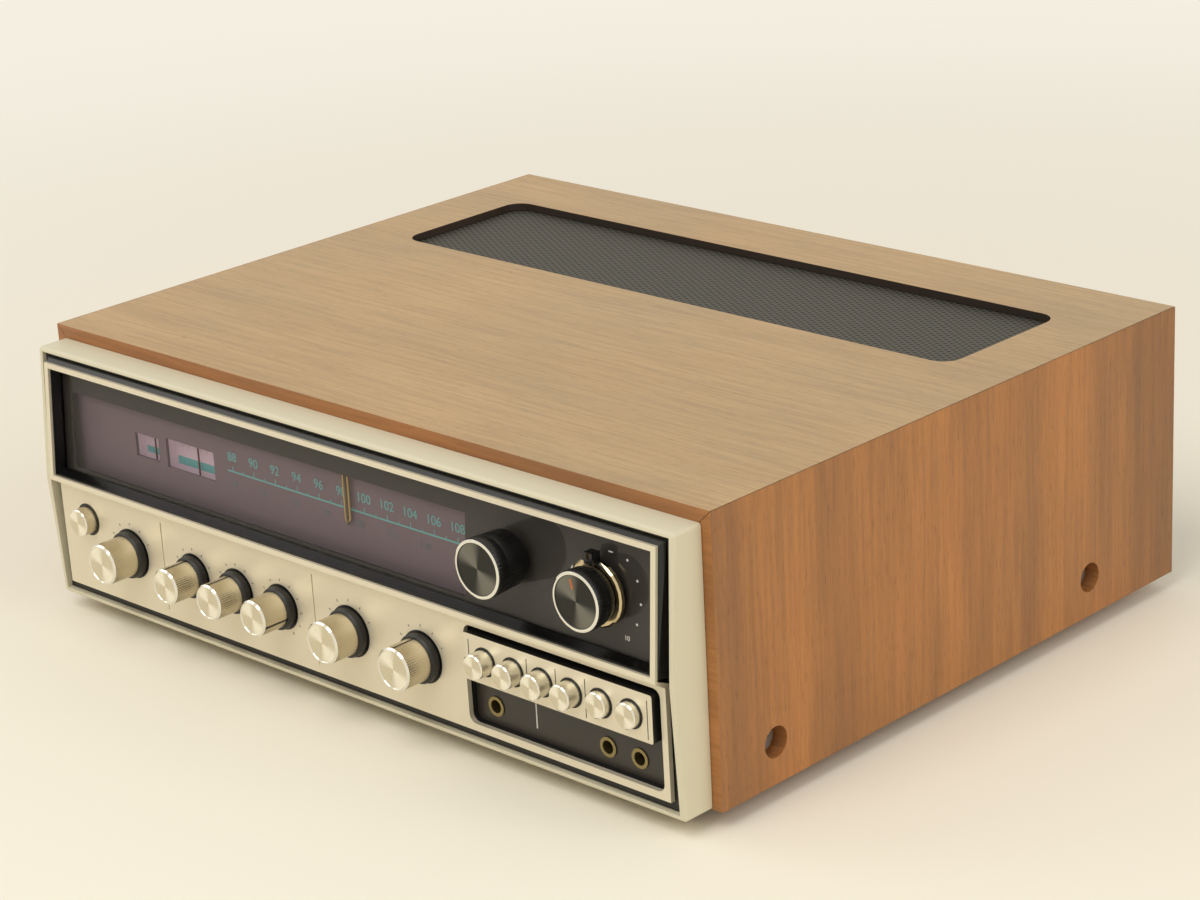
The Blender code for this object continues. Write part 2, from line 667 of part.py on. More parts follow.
def make_chassis():
    outer = HALF_WIDTH - BOARD_THICKNESS - GAP
    inner = outer - SHEET
    lip = outer - CHASSIS_LIP
    floor = CHASSIS_BOTTOM_Z + SHEET
    ceiling = CHASSIS_DECK_Z - SHEET
    right = ((lip, CHASSIS_BOTTOM_Z), (lip, floor), (inner, floor), (inner, ceiling))
    outline = (
        (-outer, CHASSIS_BOTTOM_Z), (-outer, CHASSIS_DECK_Z), (outer, CHASSIS_DECK_Z), (outer, CHASSIS_BOTTOM_Z),
        *right, *[(-x, z) for x, z in reversed(right)])
    bm = bmesh.new()
    add_prism(bm, outline, "Y", CHASSIS_FRONT_Y, REAR_WALL_Y - SHEET - GAP)
    chassis = add_object("chassis", bm, STEEL)
    cut(chassis, side_holes("chassis_holes"))

    wing_end = CHASSIS_FRONT_Y - GAP
    side = outer
    outline = (
        (-side, SUB_PANEL_Y), (side, SUB_PANEL_Y), (side, wing_end), (side - SHEET, wing_end),
        (side - SHEET, SUB_PANEL_Y + SHEET), (-side + SHEET, SUB_PANEL_Y + SHEET), (-side + SHEET, wing_end),
        (-side, wing_end))
    bm = bmesh.new()
    add_prism(bm, outline, "Z", SUB_PANEL_BOTTOM_Z, SUB_PANEL_TOP_Z)
    panel = add_object("sub_panel", bm, STEEL)
    bm = bmesh.new()
    near, far = SUB_PANEL_Y - OVERRUN, SUB_PANEL_Y + SHEET + OVERRUN
    rod(bm, SHAFT_RADIUS + GAP, near, far, (TUNING_X, 0, TUNING_Z))
    rod(bm, VOLUME_BUSHING_RADIUS + GAP, near, far, (VOLUME_X, 0, VOLUME_Z))
    cut(panel, tool("sub_panel_holes", bm))

    bm = bmesh.new()
    low = CHASSIS_BOTTOM_Z - GAP - SHEET
    add_block(bm, (-outer, SUB_PANEL_Y, low), (outer, REAR_WALL_Y - SHEET - GAP, low + SHEET))
    cover = add_object("bottom_cover", bm, STEEL)
    bm = bmesh.new()
    first = -COVER_SLOT_PITCH * (COVER_SLOT_COUNT - 1) / 2
    for i in range(COVER_SLOT_COUNT):
        x = first + i * COVER_SLOT_PITCH
        y = CABINET_DEPTH / 2
        add_block(bm, (x - COVER_SLOT_WIDTH / 2, y - COVER_SLOT_LENGTH / 2, low - OVERRUN),
                  (x + COVER_SLOT_WIDTH / 2, y + COVER_SLOT_LENGTH / 2, low + SHEET + OVERRUN))
    cut(cover, tool("cover_slots", bm))
    join(cover, foot_tool())


def side_holes(name):
    bm = bmesh.new()
    inner = HALF_WIDTH - BOARD_THICKNESS
    for sign in (-1, 1):
        ends = sorted((sign * (inner + OVERRUN), sign * (inner - 2 * OVERRUN - 2 * SHEET)))
        for y in screw_places():
            rod(bm, SCREW_SHANK_RADIUS + GAP, *ends, (0, y, SCREW_HEIGHT), "X", COARSE)
    return tool(name, bm)


def make_bezel():
    half = BEZEL_WIDTH / 2
    rear = -GAP
    outline = (
        (rear, BEZEL_BOTTOM_Z), (BEZEL_BOTTOM_Y, BEZEL_BOTTOM_Z), (BEZEL_BEND_Y, BEZEL_BEND_Z),
        (BEZEL_TOP_Y, BEZEL_TOP_Z), (rear, BEZEL_TOP_Z))
    bm = bmesh.new()
    add_prism(bm, outline, "X", -half, half)
    soft = [edge for edge in bm.edges
            if not all(abs(v.co.y - rear) < GAP for v in edge.verts)
            and not all(abs(v.co.z - BEZEL_BEND_Z) < GAP for v in edge.verts)]
    bmesh.ops.bevel(bm, geom=soft, offset=BEZEL_ROUNDING, segments=3, profile=0.5, affect="EDGES")
    bezel = add_object("bezel", bm, CREAM)
    side = half - BEZEL_SIDE_WALL
    low = BEZEL_BOTTOM_Z + BEZEL_BOTTOM_WALL
    high = BEZEL_TOP_Z - BEZEL_TOP_WALL
    flange = rear - BEZEL_FLANGE_THICKNESS
    bm = bmesh.new()
    add_block(bm, (-side, BEZEL_BEND_Y - OVERRUN, low), (side, flange, high))
    cut(bezel, tool("bezel_mouth_cutter", bm))
    width = BEZEL_FLANGE_WIDTH
    bm = bmesh.new()
    add_block(bm, (-side + width, flange - OVERRUN, low + width), (side - width, OVERRUN, high - width))
    cut(bezel, tool("bezel_rear_cutter", bm))


def make_bezel_liner():
    side = BEZEL_WIDTH / 2 - BEZEL_SIDE_WALL - GAP
    low = BEZEL_BOTTOM_Z + BEZEL_BOTTOM_WALL + GAP
    high = BEZEL_TOP_Z - BEZEL_TOP_WALL - GAP
    rear = -2 * GAP - BEZEL_FLANGE_THICKNESS
    bm = bmesh.new()
    add_block(bm, (-side, LINER_FRONT_Y, low), (side, rear, high))
    liner = add_object("bezel_liner", bm, BLACK_SATIN)
    bm = bmesh.new()
    add_block(bm, (-side + LINER_WALL, LINER_FRONT_Y + LINER_THICKNESS, low + LINER_WALL),
              (side - LINER_WALL, rear + OVERRUN, high - LINER_WALL))
    cut(liner, tool("liner_rear_cutter", bm))
    bm = bmesh.new()
    near, far = LINER_FRONT_Y - OVERRUN, LINER_FRONT_Y + LINER_THICKNESS + OVERRUN
    body = surround_body_half_width() + GAP
    add_block(bm, (-body, near, SURROUND_BOTTOM_Z - GAP), (body, far, surround_body_top() + GAP))
    add_prism(bm, recess_outline(), "Y", near, far)
    for _, x, _, _ in SMALL_KNOBS:
        rod(bm, POT_BUSHING_RADIUS + GAP, near, far, (x, 0, KNOB_Z), faces=COARSE)
    rod(bm, POWER_RADIUS + 2 * GAP, near, far, (POWER_X, 0, POWER_Z))
    cut(liner, tool("liner_openings", bm))


def recess_outline():
    return rounded_rectangle(RECESS_LEFT_X, RECESS_RIGHT_X, RECESS_BOTTOM_Z, RECESS_TOP_Z, RECESS_CORNER_RADIUS)


def make_front_panel():
    rear_at_hood = PLATE_TOP_Y + PLATE_THICKNESS
    hood_rear_z = PLATE_TOP_Z + HOOD_WALL
    ring_rear = RING_THICKNESS
    outline = (
        (PLATE_BOTTOM_Y, PLATE_BOTTOM_Z), (PLATE_TOP_Y, PLATE_TOP_Z), (CREST_BOTTOM_Y, RING_BOTTOM_Z),
        (CREST_TOP_Y, RING_TOP_Z), (CREST_TOP_Y + ring_rear, RING_TOP_Z),
        (CREST_BOTTOM_Y + ring_rear, RING_BOTTOM_Z + HOOD_WALL / 2), (rear_at_hood, hood_rear_z),
        (PLATE_BOTTOM_Y + PLATE_THICKNESS, PLATE_BOTTOM_Z))
    bm = bmesh.new()
    add_prism(bm, outline, "X", -PANEL_HALF_WIDTH, PANEL_HALF_WIDTH)
    panel = add_object("front_panel", bm, CHAMPAGNE)
    inner = PANEL_HALF_WIDTH - RING_SIDE_WIDTH
    near, far = CREST_BOTTOM_Y - OVERRUN, LINER_FRONT_Y + OVERRUN
    bm = bmesh.new()
    add_block(bm, (-inner, near, RING_BOTTOM_Z + RING_BAR_HEIGHT), (inner, far, RING_TOP_Z - RING_BAR_HEIGHT))
    add_prism(bm, recess_outline(), "Y", near, far)
    for _, x, _, _ in SMALL_KNOBS:
        rod(bm, SHAFT_RADIUS + SHAFT_HOLE_CLEARANCE, near, far, (x, 0, KNOB_Z), faces=COARSE)
    rod(bm, POWER_RADIUS + 2 * GAP, near, far, (POWER_X, 0, POWER_Z))
    cut(panel, tool("front_panel_openings", bm))
    bm = bmesh.new()
    for share in DIVIDER_SHARES:
        x = share * PANEL_HALF_WIDTH
        half = DIVIDER_WIDTH / 2
        add_block(bm, (x - half, PLATE_TOP_Y - OVERRUN, DIVIDER_BOTTOM_Z),
                  (x + half, PLATE_BOTTOM_Y + DIVIDER_DEPTH, DIVIDER_TOP_Z))
    cut(panel, tool("panel_dividers", bm))


def surround_body_half_width():
    return GLASS_VISIBLE_HALF_WIDTH + GLASS_EDGE_HIDDEN + GAP + SURROUND_BODY_WALL


def surround_body_top():
    return GLASS_VISIBLE_TOP_Z + GLASS_EDGE_HIDDEN + GAP + SURROUND_BODY_WALL


def make_window_surround():
    front = RING_THICKNESS + GAP
    flange_y = LINER_FRONT_Y - GAP
    top = RING_TOP_Z - GAP
    bm = bmesh.new()
    add_slab(
        bm, ((-PANEL_HALF_WIDTH, PANEL_HALF_WIDTH, SURROUND_BOTTOM_Z + GAP, top), {"depth": front}),
        ((-SURROUND_HALF_WIDTH, SURROUND_HALF_WIDTH, SURROUND_BOTTOM_Z, SURROUND_TOP_Z), {"plane": flange_y}))
    surround = add_object("window_surround", bm, BLACK_SATIN)
    half = surround_body_half_width()
    bm = bmesh.new()
    add_block(bm, (-half, flange_y - OVERRUN, SURROUND_BOTTOM_Z + GAP / 2),
              (half, SURROUND_REAR_Y, surround_body_top()))
    join(surround, tool("surround_body", bm))
    inner = PANEL_HALF_WIDTH - RING_SIDE_WIDTH
    seen = GLASS_VISIBLE_HALF_WIDTH
    bm = bmesh.new()
    add_slab(
        bm, ((-inner, inner, RING_BOTTOM_Z + RING_BAR_HEIGHT, RING_TOP_Z - RING_BAR_HEIGHT), {"depth": 0}),
        ((-seen, seen, GLASS_VISIBLE_BOTTOM_Z, GLASS_VISIBLE_TOP_Z), {"depth": GLASS_DEPTH + OVERRUN}))
    cut(surround, tool("window_cutter", bm))
    edge = GLASS_EDGE_HIDDEN + GAP
    rim = (-seen - edge, seen + edge, GLASS_VISIBLE_BOTTOM_Z - edge, GLASS_VISIBLE_TOP_Z + edge)
    bm = bmesh.new()
    add_slab(bm, (rim, {"depth": GLASS_DEPTH - GAP}), (rim, {"plane": SURROUND_REAR_Y + OVERRUN}))
    cut(surround, tool("glass_pocket_cutter", bm))


def make_glass_and_mask():
    side = GLASS_VISIBLE_HALF_WIDTH + GLASS_EDGE_HIDDEN
    rim = (-side, side, GLASS_VISIBLE_BOTTOM_Z - GLASS_EDGE_HIDDEN, GLASS_VISIBLE_TOP_Z + GLASS_EDGE_HIDDEN)
    rear = GLASS_DEPTH + GLASS_THICKNESS
    bm = bmesh.new()
    add_slab(bm, (rim, {"depth": GLASS_DEPTH}), (rim, {"depth": rear}))
    glass = add_object("dial_glass", bm, GLASS)
    cut(glass, shaft_holes("glass_holes"))

    bm = bmesh.new()
    add_slab(bm, (rim, {"depth": rear + GAP}), (rim, {"depth": rear + GAP + MASK_THICKNESS}))
    mask = add_object("dial_mask", bm, BLACK_SATIN)
    bm = bmesh.new()
    near = crest_y(GLASS_VISIBLE_BOTTOM_Z) - OVERRUN
    add_block(bm, (MASK_WINDOW_LEFT_X, near, MASK_WINDOW_BOTTOM_Z),
              (MASK_WINDOW_RIGHT_X, SURROUND_REAR_Y + OVERRUN, MASK_WINDOW_TOP_Z))
    cut(mask, tool("mask_window_cutter", bm))
    cut(mask, shaft_holes("mask_holes"))


def shaft_holes(name):
    """Holes for the tuning shaft and for the balance sleeve, through the glass and all behind it."""
    bm = bmesh.new()
    near, far = CREST_BOTTOM_Y - OVERRUN, DIAL_PLATE_Y + DIAL_PLATE_THICKNESS + OVERRUN
    rod(bm, SHAFT_RADIUS + SHAFT_HOLE_CLEARANCE, near, far, (TUNING_X, 0, TUNING_Z))
    rod(bm, RING_SLEEVE_RADIUS + SHAFT_HOLE_CLEARANCE, near, far, (VOLUME_X, 0, VOLUME_Z))
    return tool(name, bm)


def make_dial_plate():
    side = DIAL_PLATE_HALF_WIDTH
    rear = DIAL_PLATE_Y + DIAL_PLATE_THICKNESS
    bm = bmesh.new()
    add_block(bm, (-side, DIAL_PLATE_Y, DIAL_PLATE_BOTTOM_Z), (side, rear, DIAL_PLATE_TOP_Z))
    plate = add_object("dial_plate", bm, DIAL_GREY)
    cut(plate, shaft_holes("dial_plate_holes"))
    bm = bmesh.new()
    for left, right, bottom, top in (SIGNAL_WINDOW, TUNING_WINDOW):
        add_block(bm, (left, DIAL_PLATE_Y - OVERRUN, bottom), (right, rear + OVERRUN, top))
    cut(plate, tool("meter_windows", bm))
    bm = bmesh.new()
    for x in (-side + POST_INSET, side - POST_INSET):
        for z in (DIAL_PLATE_BOTTOM_Z + POST_INSET, DIAL_PLATE_TOP_Z - POST_INSET):
            rod(bm, POST_RADIUS, rear - DIAL_PLATE_THICKNESS / 2, SUB_PANEL_Y - GAP, (x, 0, z), faces=COARSE)
    join(plate, tool("dial_plate_posts", bm))


def make_dial_lamps():
    seat = SUB_PANEL_Y - GAP
    holder = seat - LAMP_HOLDER_LENGTH
    tip = seat - LAMP_LENGTH
    profile = (
        (LAMP_HOLDER_RADIUS, seat - SHEET / 2), (LAMP_HOLDER_RADIUS, holder), (LAMP_RADIUS, holder),
        (LAMP_RADIUS, tip + LAMP_RADIUS / 2), (LAMP_RADIUS / 2, tip))
    bm = bmesh.new()
    margin = 2 * LAMP_HOLDER_RADIUS
    half = LAMP_HOLDER_RADIUS / 2
    add_block(bm, (LAMP_X[0] - margin, seat - SHEET, LAMP_Z - half), (LAMP_X[-1] + margin, seat, LAMP_Z + half))
    lamps = add_object("dial_lamps", bm, LAMP_GLASS)
    bm = bmesh.new()
    for x in LAMP_X:
        add_turned(bm, profile, (x, 0, LAMP_Z), faces=COARSE)
    join(lamps, tool("lamp_bulbs", bm))


def make_meters():
    windows = (("signal", SIGNAL_WINDOW), ("tuning", TUNING_WINDOW))
    front = DIAL_PLATE_Y + DIAL_PLATE_THICKNESS + GAP
    back = front + METER_DEPTH
    low = min(window[2] for _, window in windows) - METER_DROP
    high = max(window[3] for _, window in windows) + METER_MARGIN
    bm = bmesh.new()
    add_block(bm, (SIGNAL_WINDOW[0] - METER_MARGIN, front, low), (TUNING_WINDOW[1] + METER_MARGIN, back, high))
    case = add_object("meters", bm, METER_FACE)
    wall = METER_CASE_WALL
    cavity_back = front + METER_DEPTH / 2
    cavities = bmesh.new()
    posts = bmesh.new()
    for name, (left, right, bottom, top) in windows:
        margin = METER_MARGIN - wall
        add_block(
            cavities, (left - margin, front - OVERRUN, low + wall), (right + margin, cavity_back, high - wall))
        middle = (left + right) / 2
        rod(posts, POST_RADIUS, back - METER_DEPTH / 3, SUB_PANEL_Y - GAP, (middle, 0, (bottom + top) / 2),
            faces=COARSE)
        make_needle(name, middle, cavity_back - GAP, bottom - METER_PIVOT_DROP, top - NEEDLE_HEAD_ROOM)
    cut(case, tool("meter_cavities", cavities))
    join(case, tool("meter_posts", posts))


def make_needle(name, x, seat, pivot_z, tip_z):
    at = (x, seat, pivot_z)
    half = NEEDLE_WIDTH / 2
    near = NEEDLE_SETBACK - NEEDLE_HUB_LENGTH - NEEDLE_THICKNESS
    bm = bmesh.new()
    rod(bm, NEEDLE_HUB_RADIUS, -NEEDLE_HUB_LENGTH, 0, faces=COARSE)
    needle = add_object(f"{name}_needle", bm, RED, at)
    bm = bmesh.new()
    add_block(bm, (-half, near, 0), (half, near + NEEDLE_THICKNESS, tip_z - pivot_z))
    join(needle, tool(f"{name}_needle_blade", bm, at))


def make_button_plate():
    rear = LINER_FRONT_Y + LINER_THICKNESS
    jack_front = rear + GAP
    left, right = BUTTON_PLATE_LEFT_X, BUTTON_PLATE_RIGHT_X
    bottom, top = BUTTON_PLATE_BOTTOM_Z, BUTTON_PLATE_TOP_Z
    bm = bmesh.new()
    outline = rounded_rectangle(left, right, bottom, top, BUTTON_PLATE_CORNER_RADIUS, 2)
    add_prism(bm, outline, "Y", BUTTON_PLATE_FRONT_Y, jack_front - GAP)
    plate = add_object("button_plate", bm, CHAMPAGNE)
    wall = BUTTON_PLATE_WALL
    bm = bmesh.new()
    add_block(bm, (left + wall, BUTTON_PLATE_FRONT_Y + wall, bottom + wall),
              (right - wall, jack_front + OVERRUN, top - wall))
    cut(plate, tool("button_plate_inside", bm))
    bm = bmesh.new()
    for i in range(BUTTON_COUNT):
        x = BUTTON_FIRST_X + i * BUTTON_PITCH
        rod(bm, BUTTON_RADIUS + BUTTON_HOLE_CLEARANCE, BUTTON_PLATE_FRONT_Y - OVERRUN,
            BUTTON_PLATE_FRONT_Y + wall + OVERRUN, (x, 0, BUTTON_Z))
    cut(plate, tool("button_holes", bm))

    bm = bmesh.new()
    over = JACK_PANEL_OVERLAP
    add_block(bm, (RECESS_LEFT_X - over, jack_front, RECESS_BOTTOM_Z - over),
              (RECESS_RIGHT_X + over, jack_front + JACK_PANEL_THICKNESS, RECESS_TOP_Z + over))
    panel = add_object("jack_panel", bm, BLACK_SATIN)
    bm = bmesh.new()
    near, far = jack_front - OVERRUN, jack_front + JACK_PANEL_THICKNESS + OVERRUN
    for i in range(BUTTON_COUNT):
        place = (BUTTON_FIRST_X + i * BUTTON_PITCH, 0, BUTTON_Z)
        rod(bm, BUTTON_STEM_RADIUS + GAP, near, far, place, faces=COARSE)
    for x in JACK_X:
        rod(bm, JACK_THREAD_RADIUS + GAP, near, far, (x, 0, JACK_Z))
    cut(panel, tool("jack_panel_holes", bm))


def bank_front():
    return LINER_FRONT_Y + LINER_THICKNESS + GAP + JACK_PANEL_THICKNESS + GAP


def make_push_buttons():
    body_rear = LINER_FRONT_Y + LINER_THICKNESS - BUTTON_TRAVEL
    stem_end = bank_front() + SWITCH_BANK_DEPTH - 2 * BUTTON_TRAVEL
    for i in range(BUTTON_COUNT):
        profile = (
            (BUTTON_RADIUS - BUTTON_EDGE, 0), (BUTTON_RADIUS, BUTTON_EDGE),
            (BUTTON_RADIUS, body_rear - BUTTON_FACE_Y), (BUTTON_STEM_RADIUS, body_rear - BUTTON_FACE_Y),
            (BUTTON_STEM_RADIUS, stem_end - BUTTON_FACE_Y))
        bm = bmesh.new()
        add_turned(bm, profile)
        face = BUTTON_FACE_Y + (BUTTON_TRAVEL if i in BUTTONS_PRESSED else 0)
        place = (BUTTON_FIRST_X + i * BUTTON_PITCH, face, BUTTON_Z)
        round_off(add_object(f"push_button_{i + 1}", bm, CHAMPAGNE, place))

    front = bank_front()
    last = BUTTON_FIRST_X + (BUTTON_COUNT - 1) * BUTTON_PITCH
    half = SWITCH_BANK_HEIGHT / 2
    bm = bmesh.new()
    add_block(bm, (BUTTON_FIRST_X - SWITCH_BANK_MARGIN, front, BUTTON_Z - half),
              (last + SWITCH_BANK_MARGIN, front + SWITCH_BANK_DEPTH, BUTTON_Z + half))
    bank = add_object("button_switch_bank", bm, STEEL)
    bm = bmesh.new()
    for i in range(BUTTON_COUNT):
        rod(bm, BUTTON_STEM_RADIUS + GAP, front - OVERRUN, stem_end + BUTTON_TRAVEL + GAP,
            (BUTTON_FIRST_X + i * BUTTON_PITCH, 0, BUTTON_Z), faces=COARSE)
    cut(bank, tool("bank_bores", bm))


def make_front_jacks():
    panel_front = LINER_FRONT_Y + LINER_THICKNESS + GAP
    face = panel_front - GAP - JACK_RING_HEIGHT
    body = bank_front()
    end = face + JACK_LENGTH
    profile = (
        (JACK_BORE_RADIUS, face), (JACK_RING_RADIUS, face), (JACK_RING_RADIUS, panel_front - GAP),
        (JACK_THREAD_RADIUS, panel_front - GAP), (JACK_THREAD_RADIUS, body), (JACK_BODY_RADIUS, body),
        (JACK_BODY_RADIUS, end), (JACK_BORE_RADIUS, end))
    for i, x in enumerate(JACK_X):
        bm = bmesh.new()
        add_tube(bm, [(radius, y - face) for radius, y in profile], faces=MEDIUM)
        round_off(add_object(f"front_jack_{i + 1}", bm, BRASS, (x, face, JACK_Z)))


def make_small_knobs():
    bracket = bmesh.new()
    channel = (
        (BRACKET_Y, BRACKET_BOTTOM_Z), (BRACKET_Y, BRACKET_TOP_Z), (SUB_PANEL_Y - GAP, BRACKET_TOP_Z),
        (SUB_PANEL_Y - GAP, BRACKET_TOP_Z - SHEET), (BRACKET_Y + SHEET, BRACKET_TOP_Z - SHEET),
        (BRACKET_Y + SHEET, BRACKET_BOTTOM_Z + SHEET), (SUB_PANEL_Y - GAP, BRACKET_BOTTOM_Z + SHEET),
        (SUB_PANEL_Y - GAP, BRACKET_BOTTOM_Z))
    add_prism(bracket, channel, "X", BRACKET_LEFT_X, BRACKET_RIGHT_X)
    bracket = add_object("control_bracket", bracket, STEEL)
    holes = bmesh.new()
    pots = bmesh.new()
    near = POT_BUSHING_FRONT_Y - OVERRUN
    rear = BRACKET_Y + SHEET
    bore = SHAFT_RADIUS + GAP
    bore_end = rear + POT_LENGTH * 2 / 3
    profile = (
        (POT_BUSHING_RADIUS, POT_BUSHING_FRONT_Y), (POT_BUSHING_RADIUS, BRACKET_Y + SHEET / 2),
        (POT_RADIUS, BRACKET_Y + SHEET / 2), (POT_RADIUS, rear + POT_LENGTH))
    for name, x, face, radius in SMALL_KNOBS:
        rod(holes, bore, near, bore_end + GAP, (x, 0, KNOB_Z), faces=COARSE)
        add_turned(pots, profile, (x, 0, KNOB_Z), faces=COARSE)
        skirt = radius + KNOB_SKIRT_EXTRA
        outline = (
            (radius - KNOB_CHAMFER, 0), (radius, KNOB_CHAMFER), (radius, KNOB_BODY_REAR_Y - face),
            (skirt - KNOB_CHAMFER, KNOB_BODY_REAR_Y - face), (skirt, KNOB_BODY_REAR_Y + KNOB_CHAMFER - face),
            (skirt, KNOB_REAR_Y - face), (SHAFT_RADIUS, KNOB_REAR_Y - face), (SHAFT_RADIUS, bore_end - face))
        bm = bmesh.new()
        add_turned(bm, outline, faces=FINE)
        knob = add_object(f"{name}_knob", bm, ALUMINIUM, (x, face, KNOB_Z))
        half = KNOB_GROOVE_WIDTH / 2
        bm = bmesh.new()
        add_block(
            bm, (-half, -OVERRUN, radius - KNOB_GROOVE_DEPTH), (half, KNOB_BODY_REAR_Y - face, radius + OVERRUN))
        groove = tool(f"{name}_groove", bm, (x, face, KNOB_Z))
        groove.rotation_euler.y = math.radians(POINTER_TURN_DEG[name])
        cut(knob, groove)
        round_off(knob)
    half = POWER_SWITCH_HALF_WIDTH
    add_block(pots, (POWER_X - half, BRACKET_Y + SHEET / 2, POWER_Z - half),
              (POWER_X + half, rear + POWER_SWITCH_DEPTH, POWER_Z + half))
    end = rear + POWER_SWITCH_DEPTH * 2 / 3
    rod(holes, BUTTON_STEM_RADIUS + GAP, near, end, (POWER_X, 0, POWER_Z), faces=COARSE)
    join(bracket, tool("rotary_controls", pots))
    cut(bracket, tool("control_bores", holes))


def make_power_button():
    profile = (
        (POWER_RADIUS - BUTTON_EDGE, 0), (POWER_RADIUS, BUTTON_EDGE), (POWER_RADIUS, POWER_REAR_Y - POWER_FACE_Y),
        (BUTTON_STEM_RADIUS, POWER_REAR_Y - POWER_FACE_Y), (BUTTON_STEM_RADIUS, POWER_STEM_END_Y - POWER_FACE_Y))
    bm = bmesh.new()
    add_turned(bm, profile)
    round_off(add_object("power_button", bm, CHAMPAGNE, (POWER_X, POWER_FACE_Y, POWER_Z)))


def make_tuning_drive():
    profile = (
        (TUNING_RIM_RADIUS / 2, TUNING_DISH_DEPTH), (TUNING_RIM_RADIUS - TUNING_DISH_DEPTH, TUNING_DISH_DEPTH),
        (TUNING_RIM_RADIUS - TUNING_DISH_DEPTH, 0), (TUNING_RIM_RADIUS, 0), (TUNING_RADIUS, TUNING_DISH_DEPTH),
        (TUNING_REAR_RADIUS, TUNING_REAR_Y - TUNING_FACE_Y), (SHAFT_RADIUS, TUNING_REAR_Y - TUNING_FACE_Y),
        (SHAFT_RADIUS, DIAL_PLATE_Y - TUNING_FACE_Y))
    bm = bmesh.new()
    add_turned(bm, profile, faces=FINE)
    round_off(add_object("tuning_knob", bm, BLACK_METAL, (TUNING_X, TUNING_FACE_Y, TUNING_Z)))

    groove = DRIVE_RADIUS - CORD_RADIUS - GAP
    half = DRIVE_WIDTH / 2
    near, far = CORD_PLANE_Y - half, CORD_PLANE_Y + half
    flange = DRIVE_RADIUS + DRIVE_FLANGE
    lip = DRIVE_FLANGE / 3
    fly = FLYWHEEL_Y + FLYWHEEL_THICKNESS
    profile = (
        (SHAFT_RADIUS, DIAL_PLATE_Y + GAP), (SHAFT_RADIUS, near), (flange, near), (flange, near + lip),
        (groove, near + lip), (groove, far - lip), (flange, far - lip), (flange, far), (SHAFT_RADIUS, far),
        (SHAFT_RADIUS, FLYWHEEL_Y), (FLYWHEEL_RADIUS, FLYWHEEL_Y), (FLYWHEEL_RADIUS, fly), (SHAFT_RADIUS, fly),
        (SHAFT_RADIUS, fly + SHAFT_END))
    bm = bmesh.new()
    add_turned(bm, profile, faces=FINE)
    round_off(add_object("tuning_shaft", bm, STEEL, (TUNING_X, 0, TUNING_Z)))

    groove = DRUM_DRIVE_RADIUS - CORD_RADIUS - GAP
    outer = DRUM_DRIVE_RADIUS + DRUM_FLANGE
    half = DRUM_WIDTH / 2
    lip = DRUM_FLANGE
    rim = groove - DRUM_RIM_WALL
    web = DRUM_WEB / 2
    profile = (
        (DRUM_HUB_RADIUS, -half), (DRUM_HUB_RADIUS, -web), (rim, -web), (rim, -half), (outer, -half),
        (outer, -half + lip), (groove, -half + lip), (groove, half - lip), (outer, half - lip), (outer, half),
        (rim, half), (rim, web), (DRUM_HUB_RADIUS, web), (DRUM_HUB_RADIUS, half))
    bm = bmesh.new()
    add_turned(bm, profile, faces=FINE)
    round_off(add_object("dial_drum", bm, NYLON, (DRUM_X, CORD_PLANE_Y, DRUM_Z)))

    groove = PULLEY_RADIUS - CORD_RADIUS - GAP
    outer = PULLEY_RADIUS + PULLEY_FLANGE
    half = DRIVE_WIDTH / 2
    lip = DRIVE_FLANGE / 3
    profile = (
        (PULLEY_POST_RADIUS, SUB_PANEL_Y + SHEET / 2), (PULLEY_POST_RADIUS, CORD_PLANE_Y - half),
        (outer, CORD_PLANE_Y - half), (outer, CORD_PLANE_Y - half + lip), (groove, CORD_PLANE_Y - half + lip),
        (groove, CORD_PLANE_Y + half - lip), (outer, CORD_PLANE_Y + half - lip), (outer, CORD_PLANE_Y + half))
    bm = bmesh.new()
    for x in (LEFT_PULLEY_X, RIGHT_PULLEY_X):
        add_turned(bm, profile, (x, 0, PULLEY_Z))
    join(bpy.data.objects["sub_panel"], tool("cord_pulleys", bm))


def tangent(near, far):
    """Points where a cord that runs clockwise round two circles leaves the first and meets the second."""
    (x1, z1, r1), (x2, z2, r2) = near, far
    span = math.hypot(x2 - x1, z2 - z1)
    heading = math.atan2(z2 - z1, x2 - x1)
    side = heading + math.acos((r1 - r2) / span)
    return side


def make_dial_cord():
    """The cord in one plane, clockwise round both pulleys, the tuning shaft and the drum."""
    circles = (
        (LEFT_PULLEY_X, PULLEY_Z, PULLEY_RADIUS), (RIGHT_PULLEY_X, PULLEY_Z, PULLEY_RADIUS),
        (TUNING_X, TUNING_Z, DRIVE_RADIUS), (DRUM_X, DRUM_Z, DRUM_DRIVE_RADIUS))
    sides = [tangent(circles[i], circles[(i + 1) % len(circles)]) for i in range(len(circles))]
    points = []
    for i, (x, z, radius) in enumerate(circles):
        start, end = sides[i - 1], sides[i]
        turn = (start - end) % (2 * math.pi)
        steps = max(2, round(turn * MEDIUM / (2 * math.pi)))
        for k in range(steps):
            angle = start - turn * (k + 1 / 2) / steps
            reach = radius / math.cos(turn / steps / 2)
            points.append((x + reach * math.cos(angle), z + reach * math.sin(angle)))
    bm = bmesh.new()
    rings = []
    for i, (x, z) in enumerate(points):
        before, after = points[i - 1], points[(i + 1) % len(points)]
        heading = math.atan2(after[1] - before[1], after[0] - before[0])
        across_x, across_z = -math.sin(heading), math.cos(heading)
        ring = []
        for k in range(6):
            turn = math.pi * k / 3
            out = CORD_RADIUS * math.cos(turn)
            depth = CORD_PLANE_Y + CORD_RADIUS * math.sin(turn)
            ring.append(bm.verts.new((x + across_x * out, depth, z + across_z * out)))
        rings.append(ring)
    add_skin(bm, rings, closed=True)
    add_object("dial_cord", bm, NYLON)


